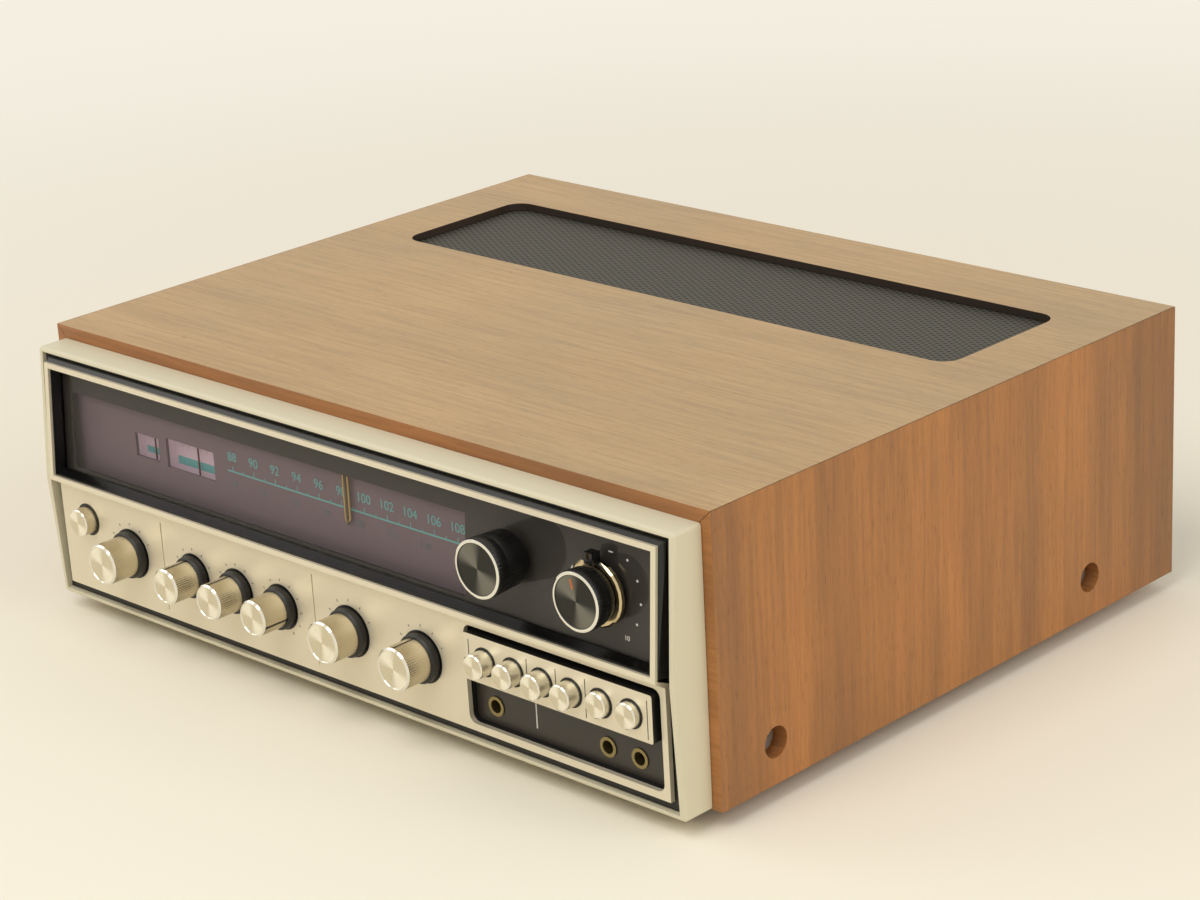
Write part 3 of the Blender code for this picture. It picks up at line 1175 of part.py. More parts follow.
def make_pointer():
    half = RAIL_BLOCK / 2
    bm = bmesh.new()
    rod(bm, RAIL_RADIUS, RAIL_LEFT_X - half, RAIL_RIGHT_X + half, (0, RAIL_Y, RAIL_Z), "X", COARSE)
    rail = add_object("pointer_rail", bm, STEEL)
    bm = bmesh.new()
    for x in (RAIL_LEFT_X, RAIL_RIGHT_X):
        sign = math.copysign(RAIL_BLOCK, x)
        add_block(bm, (min(x, x + sign), SUB_PANEL_Y + SHEET + GAP, RAIL_Z - half),
                  (max(x, x + sign), RAIL_Y + half, RAIL_Z + half))
    join(rail, tool("rail_blocks", bm))

    at = (POINTER_X, RAIL_Y, RAIL_Z)
    wide = POINTER_CARRIAGE_WIDTH / 2
    deep = POINTER_CARRIAGE_DEPTH / 2
    tall = POINTER_CARRIAGE_HEIGHT / 2
    arm_low = SUB_PANEL_TOP_Z + 2 * GAP - RAIL_Z
    arm_high = arm_low + POINTER_ARM_THICKNESS
    blade_front = POINTER_BLADE_Y - RAIL_Y
    blade_rear = blade_front + POINTER_BLADE_THICKNESS
    bm = bmesh.new()
    side_view = (
        (-deep, -tall), (-deep, arm_low), (blade_front, arm_low), (blade_front, arm_high), (deep, arm_high),
        (deep, -tall))
    add_prism(bm, side_view, "X", -POINTER_ARM_WIDTH / 2, POINTER_ARM_WIDTH / 2)
    pointer = add_object("dial_pointer", bm, GOLD, at)
    bm = bmesh.new()
    add_block(bm, (-wide, -deep, -tall), (wide, deep, tall))
    join(pointer, tool("pointer_carriage", bm, at))
    bm = bmesh.new()
    half = POINTER_BLADE_WIDTH / 2
    add_block(bm, (-half, blade_front, POINTER_TIP_Z - RAIL_Z), (half, blade_rear, arm_high - GAP))
    join(pointer, tool("pointer_blade", bm, at))
    bm = bmesh.new()
    rod(bm, RAIL_RADIUS + GAP, -wide - OVERRUN, wide + OVERRUN, axis="X", faces=COARSE)
    cut(pointer, tool("pointer_bore", bm, at))


def make_gang():
    front = CORD_PLANE_Y + DRUM_WIDTH / 2 + 2 * GAP + GANG_GAP
    front = max(front, CHASSIS_FRONT_Y + GANG_GAP)
    back = front + GANG_DEPTH
    low = CHASSIS_DECK_Z + GAP
    plate = SHEET
    outline = (
        (front, low), (back, low), (back, GANG_TOP_Z), (back - plate, GANG_TOP_Z), (back - plate, low + plate),
        (front + plate, low + plate), (front + plate, GANG_TOP_Z), (front, GANG_TOP_Z))
    bm = bmesh.new()
    add_prism(bm, outline, "X", DRUM_X - GANG_HALF_WIDTH, DRUM_X + GANG_HALF_WIDTH)
    frame = add_object("gang_frame", bm, STEEL)
    pitch = GANG_DEPTH / (GANG_PLATE_COUNT + 1)
    rod_x = STATOR_HALF_WIDTH - 2 * STATOR_ROD_RADIUS
    rod_z = GANG_TOP_Z - 3 * STATOR_ROD_RADIUS
    bm = bmesh.new()
    for x in (-rod_x, rod_x):
        rod(bm, STATOR_ROD_RADIUS, front + plate / 2, back - plate / 2, (DRUM_X + x, 0, rod_z), faces=COARSE)
    join(frame, tool("stator_rods", bm))
    plates = bmesh.new()
    rotor = bmesh.new()
    half = GANG_PLATE_THICKNESS / 2
    stator_low = DRUM_Z + 2 * SHAFT_RADIUS
    for i in range(GANG_PLATE_COUNT):
        y = front + pitch * (i + 1)
        add_block(plates, (DRUM_X - STATOR_HALF_WIDTH, y - half, stator_low),
                  (DRUM_X + STATOR_HALF_WIDTH, y + half, GANG_TOP_Z - STATOR_ROD_RADIUS))
        middle = y + pitch / 2 if i < GANG_PLATE_COUNT - 1 else y - 3 * pitch / 2 - pitch * (GANG_PLATE_COUNT - 2)
        middle -= CORD_PLANE_Y
        outline = [(ROTOR_RADIUS * math.cos(math.pi * k / 12), -ROTOR_RADIUS * math.sin(math.pi * k / 12))
                   for k in range(13)]
        add_prism(rotor, outline, "Y", middle - half, middle + half)
    join(frame, tool("stator_plates", plates))
    bm = bmesh.new()
    rod(bm, SHAFT_RADIUS + GAP, front - OVERRUN, back + OVERRUN, (DRUM_X, 0, DRUM_Z), faces=COARSE)
    cut(frame, tool("gang_bores", bm))
    bm = bmesh.new()
    at = (DRUM_X, CORD_PLANE_Y, DRUM_Z)
    rod(bm, SHAFT_RADIUS, DRUM_WIDTH / 2 + GAP, back + SHAFT_END - CORD_PLANE_Y)
    shaft = add_object("gang_rotor", bm, STEEL, at)
    join(shaft, tool("rotor_plates", rotor, at))


def make_volume():
    pot = SUB_PANEL_Y + SHEET + GAP
    bore = SHAFT_RADIUS + GAP
    shaft_end = pot + VOLUME_POT_LENGTH / 2
    length = VOLUME_REAR_Y - VOLUME_FACE_Y
    profile = (
        (TUNING_RIM_RADIUS / 2, TUNING_DISH_DEPTH), (TUNING_RIM_RADIUS - TUNING_DISH_DEPTH, TUNING_DISH_DEPTH),
        (TUNING_RIM_RADIUS - TUNING_DISH_DEPTH, 0), (TUNING_RIM_RADIUS, 0), (TUNING_RADIUS, TUNING_DISH_DEPTH),
        (TUNING_REAR_RADIUS, length), (SHAFT_RADIUS, length), (SHAFT_RADIUS, shaft_end - VOLUME_FACE_Y))
    bm = bmesh.new()
    add_turned(bm, profile, faces=FINE)
    round_off(add_object("volume_knob", bm, BLACK_METAL, (VOLUME_X, VOLUME_FACE_Y, VOLUME_Z)))

    sleeve_end = VOLUME_BUSHING_FRONT_Y - GAP - RING_FRONT_Y
    thick = RING_REAR_Y - RING_FRONT_Y
    profile = (
        (bore, 0), (RING_RADIUS - KNOB_CHAMFER, 0), (RING_RADIUS, KNOB_CHAMFER), (RING_RADIUS, thick),
        (RING_SLEEVE_RADIUS, thick), (RING_SLEEVE_RADIUS, sleeve_end), (bore, sleeve_end))
    at = (VOLUME_X, RING_FRONT_Y, VOLUME_Z)
    bm = bmesh.new()
    add_tube(bm, profile, faces=FINE)
    ring = add_object("balance_ring", bm, CHAMPAGNE, at)
    bm = bmesh.new()
    add_block(bm, (-TAB_WIDTH / 2, TAB_FRONT_Y - RING_FRONT_Y, TUNING_RADIUS + GAP),
              (TAB_WIDTH / 2, thick - GAP, TAB_TOP_Z - VOLUME_Z))
    join(ring, tool("balance_tab", bm, at))
    round_off(ring)

    profile = (
        (bore, VOLUME_BUSHING_FRONT_Y), (VOLUME_BUSHING_RADIUS, VOLUME_BUSHING_FRONT_Y),
        (VOLUME_BUSHING_RADIUS, pot), (VOLUME_POT_RADIUS, pot), (VOLUME_POT_RADIUS, pot + VOLUME_POT_LENGTH),
        (bore, pot + VOLUME_POT_LENGTH))
    bm = bmesh.new()
    add_tube(bm, profile, (VOLUME_X, 0, VOLUME_Z))
    round_off(add_object("volume_control", bm, STEEL))


def make_deck_works():
    deck = CHASSIS_DECK_Z + GAP
    x, y = TRANSFORMER_LOW
    wide, deep, tall = TRANSFORMER_SIZE
    inset = TRANSFORMER_COIL_INSET
    bm = bmesh.new()
    add_block(bm, (x, y + inset, deck), (x + wide, y + deep - inset, deck + tall))
    transformer = add_object("power_transformer", bm, STEEL)
    bm = bmesh.new()
    add_block(bm, (x + inset, y, deck + inset), (x + wide - inset, y + deep, deck + tall - inset))
    join(transformer, tool("transformer_coil", bm))

    bm = bmesh.new()
    half = CAPACITOR_RADIUS
    add_block(bm, (CAPACITOR_X[0] - half, CAPACITOR_Y - half, deck),
              (CAPACITOR_X[1] + half, CAPACITOR_Y + half, deck + CAPACITOR_CLAMP))
    capacitors = add_object("filter_capacitors", bm, BLACK_SATIN)
    bm = bmesh.new()
    for place in CAPACITOR_X:
        low, high = deck + CAPACITOR_CLAMP / 2, deck + CAPACITOR_HEIGHT
        rod(bm, CAPACITOR_RADIUS - GAP, low, high, (place, CAPACITOR_Y, 0), "Z")
    join(capacitors, tool("capacitor_cans", bm))

    x, y = HEAT_SINK_LOW
    wide, deep, tall = HEAT_SINK_SIZE
    pitch = (wide - HEAT_SINK_FIN_THICKNESS) / (HEAT_SINK_FIN_COUNT - 1)
    outline = [(x, y + deep), (x, y)]
    for i in range(HEAT_SINK_FIN_COUNT):
        left = x + i * pitch
        right = left + HEAT_SINK_FIN_THICKNESS
        if i:
            outline += [(left, y + deep - HEAT_SINK_BASE), (left, y)]
        outline.append((right, y))
        if i < HEAT_SINK_FIN_COUNT - 1:
            outline.append((right, y + deep - HEAT_SINK_BASE))
    outline.append((x + wide, y + deep))
    bm = bmesh.new()
    add_prism(bm, outline, "Z", deck, deck + tall)
    add_object("heat_sink", bm, ALUMINIUM)

    x, y = BOARD_LOW
    wide, deep = BOARD_SIZE
    low = deck + BOARD_LIFT
    bm = bmesh.new()
    add_block(bm, (x, y, low), (x + wide, y + deep, low + BOARD_SHEET))
    board = add_object("circuit_board", bm, BOARD_GREEN)
    bm = bmesh.new()
    for a in (x + 2 * SPACER_RADIUS, x + wide - 2 * SPACER_RADIUS):
        for b in (y + 2 * SPACER_RADIUS, y + deep - 2 * SPACER_RADIUS):
            rod(bm, SPACER_RADIUS, deck, low + BOARD_SHEET / 2, (a, b, 0), "Z", COARSE)
    join(board, tool("board_spacers", bm))


def make_rear():
    side = HALF_WIDTH - BOARD_THICKNESS - GAP
    bm = bmesh.new()
    add_block(bm, (-side, REAR_WALL_Y - SHEET, CHASSIS_BOTTOM_Z), (side, REAR_WALL_Y, REAR_PANEL_TOP_Z))
    panel = add_object("rear_panel", bm, BLACK_STEEL)

    seat = REAR_WALL_Y - SHEET / 2
    end = REAR_WALL_Y + TERMINAL_DEPTH
    bm = bmesh.new()
    collar = REAR_WALL_Y + TERMINAL_DEPTH / 3
    phono = (
        (PHONO_RADIUS * 3 / 2, seat), (PHONO_RADIUS * 3 / 2, collar), (PHONO_RADIUS, collar), (PHONO_RADIUS, end))
    for i in range(PHONO_COUNT):
        add_turned(bm, phono, (PHONO_FIRST_X + i * PHONO_PITCH, 0, PHONO_Z), faces=COARSE)
    for low, size in ((SPEAKER_BLOCK_LOW, SPEAKER_BLOCK_SIZE), (OUTLET_LOW, OUTLET_SIZE)):
        add_block(bm, (low[0], seat, low[1]), (low[0] + size[0], end, low[1] + size[1]))
    rod(bm, FUSE_RADIUS, seat, end, (FUSE_X, 0, FUSE_Z), faces=COARSE)
    rod(bm, INLET_RADIUS, seat, end, (INLET_X, 0, INLET_Z), faces=COARSE)
    ear = ANTENNA_EYE_HEIGHT / 2 + GAP
    x = ANTENNA_PIVOT_X
    reach = ANTENNA_PIVOT_Y + ANTENNA_PIN_RADIUS + EAR_THICKNESS
    bracket = (
        (seat, ANTENNA_Z - ear - EAR_THICKNESS), (reach, ANTENNA_Z - ear - EAR_THICKNESS), (reach, ANTENNA_Z - ear),
        (seat + EAR_THICKNESS, ANTENNA_Z - ear), (seat + EAR_THICKNESS, ANTENNA_Z + ear), (reach, ANTENNA_Z + ear),
        (reach, ANTENNA_Z + ear + EAR_THICKNESS), (seat, ANTENNA_Z + ear + EAR_THICKNESS))
    add_prism(bm, bracket, "X", x - EAR_WIDTH / 2, x + EAR_WIDTH / 2)
    join(panel, tool("rear_terminals", bm))
    bm = bmesh.new()
    pin = ear + EAR_THICKNESS / 2
    rod(bm, ANTENNA_PIN_RADIUS, ANTENNA_Z - pin, ANTENNA_Z + pin, (x, ANTENNA_PIVOT_Y, 0), "Z", COARSE)
    join(panel, tool("antenna_pin", bm))
    bm = bmesh.new()
    rod(bm, INLET_BORE_RADIUS, seat - OVERRUN, end + OVERRUN, (INLET_X, 0, INLET_Z), faces=COARSE)
    cut(panel, tool("cord_inlet_bore", bm))

    at = (ANTENNA_PIVOT_X, ANTENNA_PIVOT_Y, ANTENNA_Z)
    bm = bmesh.new()
    rod(bm, ANTENNA_RADIUS, 0, ANTENNA_LENGTH, axis="X", faces=MEDIUM)
    bar = add_object("antenna_bar", bm, BLACK_SATIN, at)
    half = ANTENNA_EYE_HEIGHT / 2
    bm = bmesh.new()
    rod(bm, ANTENNA_EYE_RADIUS, -half, half, axis="Z")
    join(bar, tool("antenna_eye", bm, at))
    bm = bmesh.new()
    rod(bm, ANTENNA_PIN_RADIUS + GAP, -half - OVERRUN, half + OVERRUN, axis="Z", faces=COARSE)
    cut(bar, tool("antenna_bore", bm, at))


clear_scene()
CARRIER = bpy.data.objects.new("receiver", None)
bpy.context.collection.objects.link(CARRIER)
CARRIER.location = (0, -(FRONT_MOST_Y + BACK_MOST_Y) / 2, FOOT_HEIGHT)

GUIDE = material("guide", (0.8, 0.2, 0.2), 0.5)
WALNUT = material("walnut", (0.40, 0.20, 0.09), 0.5)
CREAM = material("cream_paint", (0.66, 0.60, 0.43), 0.45)
CHAMPAGNE = material("champagne_aluminium", (0.72, 0.62, 0.42), 0.35, 0.8)
ALUMINIUM = material("aluminium", (0.75, 0.74, 0.70), 0.25, 1.0)
BLACK_SATIN = material("black_satin", (0.012, 0.012, 0.012), 0.45)
BLACK_METAL = material("black_metal", (0.02, 0.02, 0.02), 0.3, 0.6)
BLACK_STEEL = material("black_steel", (0.02, 0.02, 0.022), 0.5, 0.4)
GLASS = material("glass", (0.30, 0.28, 0.32), 0.03)
DIAL_GREY = material("dial_grey", (0.16, 0.13, 0.15), 0.5)
METER_FACE = material("meter_face", (0.45, 0.30, 0.28), 0.5)
LAMP_GLASS = material("lamp_glass", (0.9, 0.85, 0.7), 0.2)
STEEL = material("zinc_steel", (0.55, 0.55, 0.53), 0.4, 0.9)
BRASS = material("brass", (0.70, 0.50, 0.20), 0.3, 1.0)
GOLD = material("gold_paint", (0.65, 0.48, 0.22), 0.4, 0.3)
RED = material("needle_red", (0.5, 0.04, 0.03), 0.5)
NYLON = material("nylon", (0.75, 0.73, 0.66), 0.5)
RUBBER = material("rubber", (0.02, 0.02, 0.02), 0.8)
BOARD_GREEN = material("board_green", (0.10, 0.22, 0.10), 0.5)

make_cabinet()
make_cabinet_screws()
make_chassis()
make_bezel()
make_bezel_liner()
make_front_panel()
make_window_surround()
make_glass_and_mask()
make_dial_plate()
make_dial_lamps()
make_meters()
make_button_plate()
make_push_buttons()
make_front_jacks()
make_small_knobs()
make_power_button()
make_tuning_drive()
make_dial_cord()
make_pointer()
make_gang()
make_volume()
make_deck_works()
make_rear()
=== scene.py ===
"""Looks of the stereo receiver: walnut, cream paint, champagne metal and a dark dial."""

import json
import math

import bmesh
import bpy
from mathutils import Matrix, Vector


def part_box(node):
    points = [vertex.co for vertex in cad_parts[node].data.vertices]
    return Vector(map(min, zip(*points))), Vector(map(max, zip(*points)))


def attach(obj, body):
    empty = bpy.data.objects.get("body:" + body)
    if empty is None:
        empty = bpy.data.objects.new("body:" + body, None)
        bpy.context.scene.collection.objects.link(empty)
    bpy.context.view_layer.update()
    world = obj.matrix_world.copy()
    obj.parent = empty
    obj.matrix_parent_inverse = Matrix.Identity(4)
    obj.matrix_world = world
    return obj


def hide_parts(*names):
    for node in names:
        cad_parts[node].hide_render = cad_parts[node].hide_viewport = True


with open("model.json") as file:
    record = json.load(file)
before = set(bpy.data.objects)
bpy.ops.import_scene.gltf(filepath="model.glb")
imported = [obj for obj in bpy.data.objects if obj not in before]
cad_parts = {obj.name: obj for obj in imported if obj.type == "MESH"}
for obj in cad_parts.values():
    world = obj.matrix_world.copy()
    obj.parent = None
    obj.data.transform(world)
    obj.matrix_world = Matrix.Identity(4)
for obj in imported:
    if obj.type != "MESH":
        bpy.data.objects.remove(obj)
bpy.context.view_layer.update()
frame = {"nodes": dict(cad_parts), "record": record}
NODES = frame["nodes"]

# The cabinet's own frame: X from its middle, Y back from the wood's front face, Z up from its underside
BOX = {name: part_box(name) for name in NODES}
SIDE = BOX["cabinet_right_side"]
ORIGIN = Vector((0.0, SIDE[0][1], SIDE[0][2]))

# Camera, in the cabinet's frame
CAMERA_PLACE = (1.04935, -0.90629, 0.61475)
CAMERA_FORWARD = (-0.65891836, 0.66993408, -0.34207443)
CAMERA_RIGHT = (0.72449209, 0.68753597, -0.04904593)
CAMERA_LENS = 95.78
SENSOR_WIDTH = 36.0

# Small sizes of the finish
SKIN = 0.00012
TICK_LENGTH = 0.0012
TICK_WIDTH = 0.0003
TICK_REACH = 0.0150
HOLE_PITCH = 0.0030
# Turn of the painted highlight wedge on turned faces
PAINTED_HIGHLIGHT_TURN = 1.3


def new_material(name):
    made = bpy.data.materials.new(name)
    made.use_nodes = True
    tree = made.node_tree
    return made, tree, tree.nodes["Principled BSDF"]


def colour(values):
    """Turn a colour as a screen shows it, 0 to 255, into the linear colour that Blender uses."""
    linear = [(v / 255 / 12.92) if v / 255 <= 0.04045 else ((v / 255 + 0.055) / 1.055) ** 2.4 for v in values]
    return (*linear, 1.0)


def plain(name, rgb, roughness, metallic=0.0, grain=0.0, scale=900.0, coat=0.0, glow=0.0):
    """A painted or moulded surface with a faint unevenness in its colour and gloss; glow, where given, makes
    it give off a little light of its own, painted light on parts that are no lamp.
    """
    made, tree, shader = new_material(name)
    shader.inputs["Base Color"].default_value = colour(rgb)
    shader.inputs["Roughness"].default_value = roughness
    shader.inputs["Metallic"].default_value = metallic
    shader.inputs["Coat Weight"].default_value = coat
    shader.inputs["Emission Color"].default_value = colour(rgb)
    shader.inputs["Emission Strength"].default_value = glow
    if grain:
        place = tree.nodes.new("ShaderNodeTexCoord")
        noise = tree.nodes.new("ShaderNodeTexNoise")
        noise.inputs["Scale"].default_value = scale
        noise.inputs["Detail"].default_value = 4.0
        tree.links.new(place.outputs["Object"], noise.inputs["Vector"])
        bump = tree.nodes.new("ShaderNodeBump")
        bump.inputs["Strength"].default_value = grain
        bump.inputs["Distance"].default_value = SKIN
        tree.links.new(noise.outputs["Fac"], bump.inputs["Height"])
        tree.links.new(bump.outputs["Normal"], shader.inputs["Normal"])
        spread = tree.nodes.new("ShaderNodeMapRange")
        spread.inputs["To Min"].default_value = roughness - 0.06
        spread.inputs["To Max"].default_value = roughness + 0.06
        tree.links.new(noise.outputs["Fac"], spread.inputs["Value"])
        tree.links.new(spread.outputs["Result"], shader.inputs["Roughness"])
    return made


def noise(tree, place, scale, along, stretch, detail):
    """Noise drawn out along one axis: its scales, per metre, are across and along the grain."""
    shape = tree.nodes.new("ShaderNodeMapping")
    scales = [scale, scale, scale]
    scales["XYZ".index(along)] = scale / stretch
    shape.inputs["Scale"].default_value = scales
    tree.links.new(place.outputs["Object"], shape.inputs["Vector"])
    made = tree.nodes.new("ShaderNodeTexNoise")
    made.inputs["Scale"].default_value = 1.0
    made.inputs["Detail"].default_value = detail
    tree.links.new(shape.outputs["Vector"], made.inputs["Vector"])
    return made


def ramp(tree, source, low, high, first, second):
    made = tree.nodes.new("ShaderNodeValToRGB")
    made.color_ramp.elements[0].position = low
    made.color_ramp.elements[0].color = first
    made.color_ramp.elements[1].position = high
    made.color_ramp.elements[1].color = second
    tree.links.new(source.outputs["Fac"], made.inputs["Fac"])
    return made


def wood(name, light, dark, along, pores=0.5, roughness=0.42):
    """Walnut veneer: soft bands, fine streaks and short dark pores that run along one axis."""
    made, tree, shader = new_material(name)
    place = tree.nodes.new("ShaderNodeTexCoord")
    band = ramp(tree, noise(tree, place, 38.0, along, 14.0, 5.0), 0.34, 0.66, colour(dark),
        colour(light))
    cloud = ramp(tree, noise(tree, place, 11.0, along, 1.6, 2.0), 0.35, 0.65, (0.90, 0.92, 0.95, 1),
        (1.03, 1.0, 0.96, 1))
    streak = ramp(tree, noise(tree, place, 420.0, along, 22.0, 3.0), 0.36, 0.60,
        (0.86, 0.85, 0.84, 1), (1.03, 1.02, 1.0, 1))
    pore = ramp(tree, noise(tree, place, 1500.0, along, 12.0, 2.0), 0.33, 0.43,
        (0.60, 0.56, 0.52, 1), (1, 1, 1, 1))
    last = band
    for layer, share in ((cloud, 1.0), (streak, 1.0), (pore, pores)):
        mix = tree.nodes.new("ShaderNodeMixRGB")
        mix.blend_type = "MULTIPLY"
        mix.inputs["Fac"].default_value = share
        tree.links.new(last.outputs["Color"], mix.inputs["Color1"])
        tree.links.new(layer.outputs["Color"], mix.inputs["Color2"])
        last = mix
    tree.links.new(last.outputs["Color"], shader.inputs["Base Color"])
    bump = tree.nodes.new("ShaderNodeBump")
    bump.inputs["Strength"].default_value = 0.25
    bump.inputs["Distance"].default_value = SKIN
    tree.links.new(pore.outputs["Color"], bump.inputs["Height"])
    tree.links.new(bump.outputs["Normal"], shader.inputs["Normal"])
    shader.inputs["Roughness"].default_value = roughness
    shader.inputs["Coat Weight"].default_value = 0.1
    shader.inputs["Coat Roughness"].default_value = 0.35
    return made


def lathe(name, rgb, roughness, metallic=1.0, flutes=0, anisotropy=0.0, painted_highlight=None):
    """Turned metal about the Y axis of a piece: fine rings on its face, or flutes along its side. Where a
    highlight colour is given, a painted highlight is mixed into the colour: a lighter two-lobed wedge by
    angle about the axis, which turns with the piece.
    """
    made, tree, shader = new_material(name)
    place = tree.nodes.new("ShaderNodeTexCoord")
    parts = tree.nodes.new("ShaderNodeSeparateXYZ")
    tree.links.new(place.outputs["Object"], parts.inputs["Vector"])
    bump = tree.nodes.new("ShaderNodeBump")
    bump.inputs["Distance"].default_value = SKIN
    angle = tree.nodes.new("ShaderNodeMath")
    angle.operation = "ARCTAN2"
    tree.links.new(parts.outputs["X"], angle.inputs[0])
    tree.links.new(parts.outputs["Z"], angle.inputs[1])
    if flutes:
        times = tree.nodes.new("ShaderNodeMath")
        times.operation = "MULTIPLY"
        times.inputs[1].default_value = flutes
        tree.links.new(angle.outputs["Value"], times.inputs[0])
        wave = tree.nodes.new("ShaderNodeMath")
        wave.operation = "SINE"
        tree.links.new(times.outputs["Value"], wave.inputs[0])
        height = wave.outputs["Value"]
        bump.inputs["Strength"].default_value = 0.5
    else:
        flat = tree.nodes.new("ShaderNodeCombineXYZ")
        tree.links.new(parts.outputs["X"], flat.inputs["X"])
        tree.links.new(parts.outputs["Z"], flat.inputs["Z"])
        reach = tree.nodes.new("ShaderNodeVectorMath")
        reach.operation = "LENGTH"
        tree.links.new(flat.outputs["Vector"], reach.inputs[0])
        ring = tree.nodes.new("ShaderNodeTexNoise")
        ring.noise_dimensions = "1D"
        ring.inputs["Scale"].default_value = 5000.0
        tree.links.new(reach.outputs["Value"], ring.inputs["W"])
        height = ring.outputs["Fac"]
        bump.inputs["Strength"].default_value = 0.12
        spread = tree.nodes.new("ShaderNodeMapRange")
        spread.inputs["To Min"].default_value = roughness - 0.08
        spread.inputs["To Max"].default_value = roughness + 0.08
        tree.links.new(ring.outputs["Fac"], spread.inputs["Value"])
        tree.links.new(spread.outputs["Result"], shader.inputs["Roughness"])
    tree.links.new(height, bump.inputs["Height"])
    tree.links.new(bump.outputs["Normal"], shader.inputs["Normal"])
    shader.inputs["Base Color"].default_value = colour(rgb)
    # Painted highlight: a lighter two-lobed wedge of colour by angle about the axis, standing in for the
    # conic sheen of spun metal
    if painted_highlight:
        double = tree.nodes.new("ShaderNodeMath")
        double.operation = "MULTIPLY_ADD"
        double.inputs[1].default_value = 2.0
        double.inputs[2].default_value = PAINTED_HIGHLIGHT_TURN
        tree.links.new(angle.outputs["Value"], double.inputs[0])
        swing = tree.nodes.new("ShaderNodeMath")
        swing.operation = "COSINE"
        tree.links.new(double.outputs["Value"], swing.inputs[0])
        spread = tree.nodes.new("ShaderNodeMapRange")
        spread.interpolation_type = "SMOOTHSTEP"
        spread.inputs["From Min"].default_value = -0.4
        tree.links.new(swing.outputs["Value"], spread.inputs["Value"])
        tone = tree.nodes.new("ShaderNodeMixRGB")
        tone.inputs["Color1"].default_value = colour(rgb)
        tone.inputs["Color2"].default_value = colour(painted_highlight)
        tree.links.new(spread.outputs["Result"], tone.inputs["Fac"])
        tree.links.new(tone.outputs["Color"], shader.inputs["Base Color"])
    shader.inputs["Metallic"].default_value = metallic
    if not shader.inputs["Roughness"].is_linked:
        shader.inputs["Roughness"].default_value = roughness
    if anisotropy:
        shader.inputs["Anisotropic"].default_value = anisotropy
        tangent = tree.nodes.new("ShaderNodeTangent")
        tangent.direction_type = "RADIAL"
        tangent.axis = "Y"
        tree.links.new(tangent.outputs["Tangent"], shader.inputs["Tangent"])
    return made


def brushed(name, rgb, roughness, along, metallic=0.85):
    """Brushed metal: fine scratches along one axis."""
    made, tree, shader = new_material(name)
    place = tree.nodes.new("ShaderNodeTexCoord")
    shape = tree.nodes.new("ShaderNodeMapping")
    scale = [4000.0, 4000.0, 4000.0]
    scale["XYZ".index(along)] = 40.0
    shape.inputs["Scale"].default_value = scale
    tree.links.new(place.outputs["Object"], shape.inputs["Vector"])
    noise = tree.nodes.new("ShaderNodeTexNoise")
    noise.inputs["Scale"].default_value = 1.0
    noise.inputs["Detail"].default_value = 2.0
    tree.links.new(shape.outputs["Vector"], noise.inputs["Vector"])
    spread = tree.nodes.new("ShaderNodeMapRange")
    spread.inputs["To Min"].default_value = roughness - 0.08
    spread.inputs["To Max"].default_value = roughness + 0.12
    tree.links.new(noise.outputs["Fac"], spread.inputs["Value"])
    tree.links.new(spread.outputs["Result"], shader.inputs["Roughness"])
    shader.inputs["Base Color"].default_value = colour(rgb)
    shader.inputs["Metallic"].default_value = metallic
    return made


def grille():
    """Black steel with close rows of small holes, each row half a pitch along from the last."""
    made, tree, shader = new_material("grille")
    place = tree.nodes.new("ShaderNodeTexCoord")
    parts = tree.nodes.new("ShaderNodeSeparateXYZ")
    tree.links.new(place.outputs["Object"], parts.inputs["Vector"])
    waves = []
    for across, back in ((1.0, 0.0), (0.5, math.sqrt(0.75)), (0.5, -math.sqrt(0.75))):
        pair = []
        for axis, share in (("X", across), ("Y", back)):
            scaled = tree.nodes.new("ShaderNodeMath")
            scaled.operation = "MULTIPLY"
            scaled.inputs[1].default_value = share * 2 * math.pi / HOLE_PITCH
            tree.links.new(parts.outputs[axis], scaled.inputs[0])
            pair.append(scaled)
        total = tree.nodes.new("ShaderNodeMath")
        total.operation = "ADD"
        for i in range(2):
            tree.links.new(pair[i].outputs["Value"], total.inputs[i])
        wave = tree.nodes.new("ShaderNodeMath")
        wave.operation = "COSINE"
        tree.links.new(total.outputs["Value"], wave.inputs[0])
        waves.append(wave)
    last = waves[0]
    for wave in waves[1:]:
        total = tree.nodes.new("ShaderNodeMath")
        total.operation = "ADD"
        tree.links.new(last.outputs["Value"], total.inputs[0])
        tree.links.new(wave.outputs["Value"], total.inputs[1])
        last = total
    share = tree.nodes.new("ShaderNodeMapRange")
    share.inputs["From Min"].default_value = -0.6
    share.inputs["From Max"].default_value = 0.9
    tree.links.new(last.outputs["Value"], share.inputs["Value"])
    mix = tree.nodes.new("ShaderNodeMixRGB")
    mix.inputs["Color1"].default_value = colour((76, 73, 64))
    mix.inputs["Color2"].default_value = colour((20, 19, 16))
    tree.links.new(share.outputs["Result"], mix.inputs["Fac"])
    tree.links.new(mix.outputs["Color"], shader.inputs["Base Color"])
    shader.inputs["Roughness"].default_value = 0.6
    shader.inputs["Metallic"].default_value = 0.2
    return made


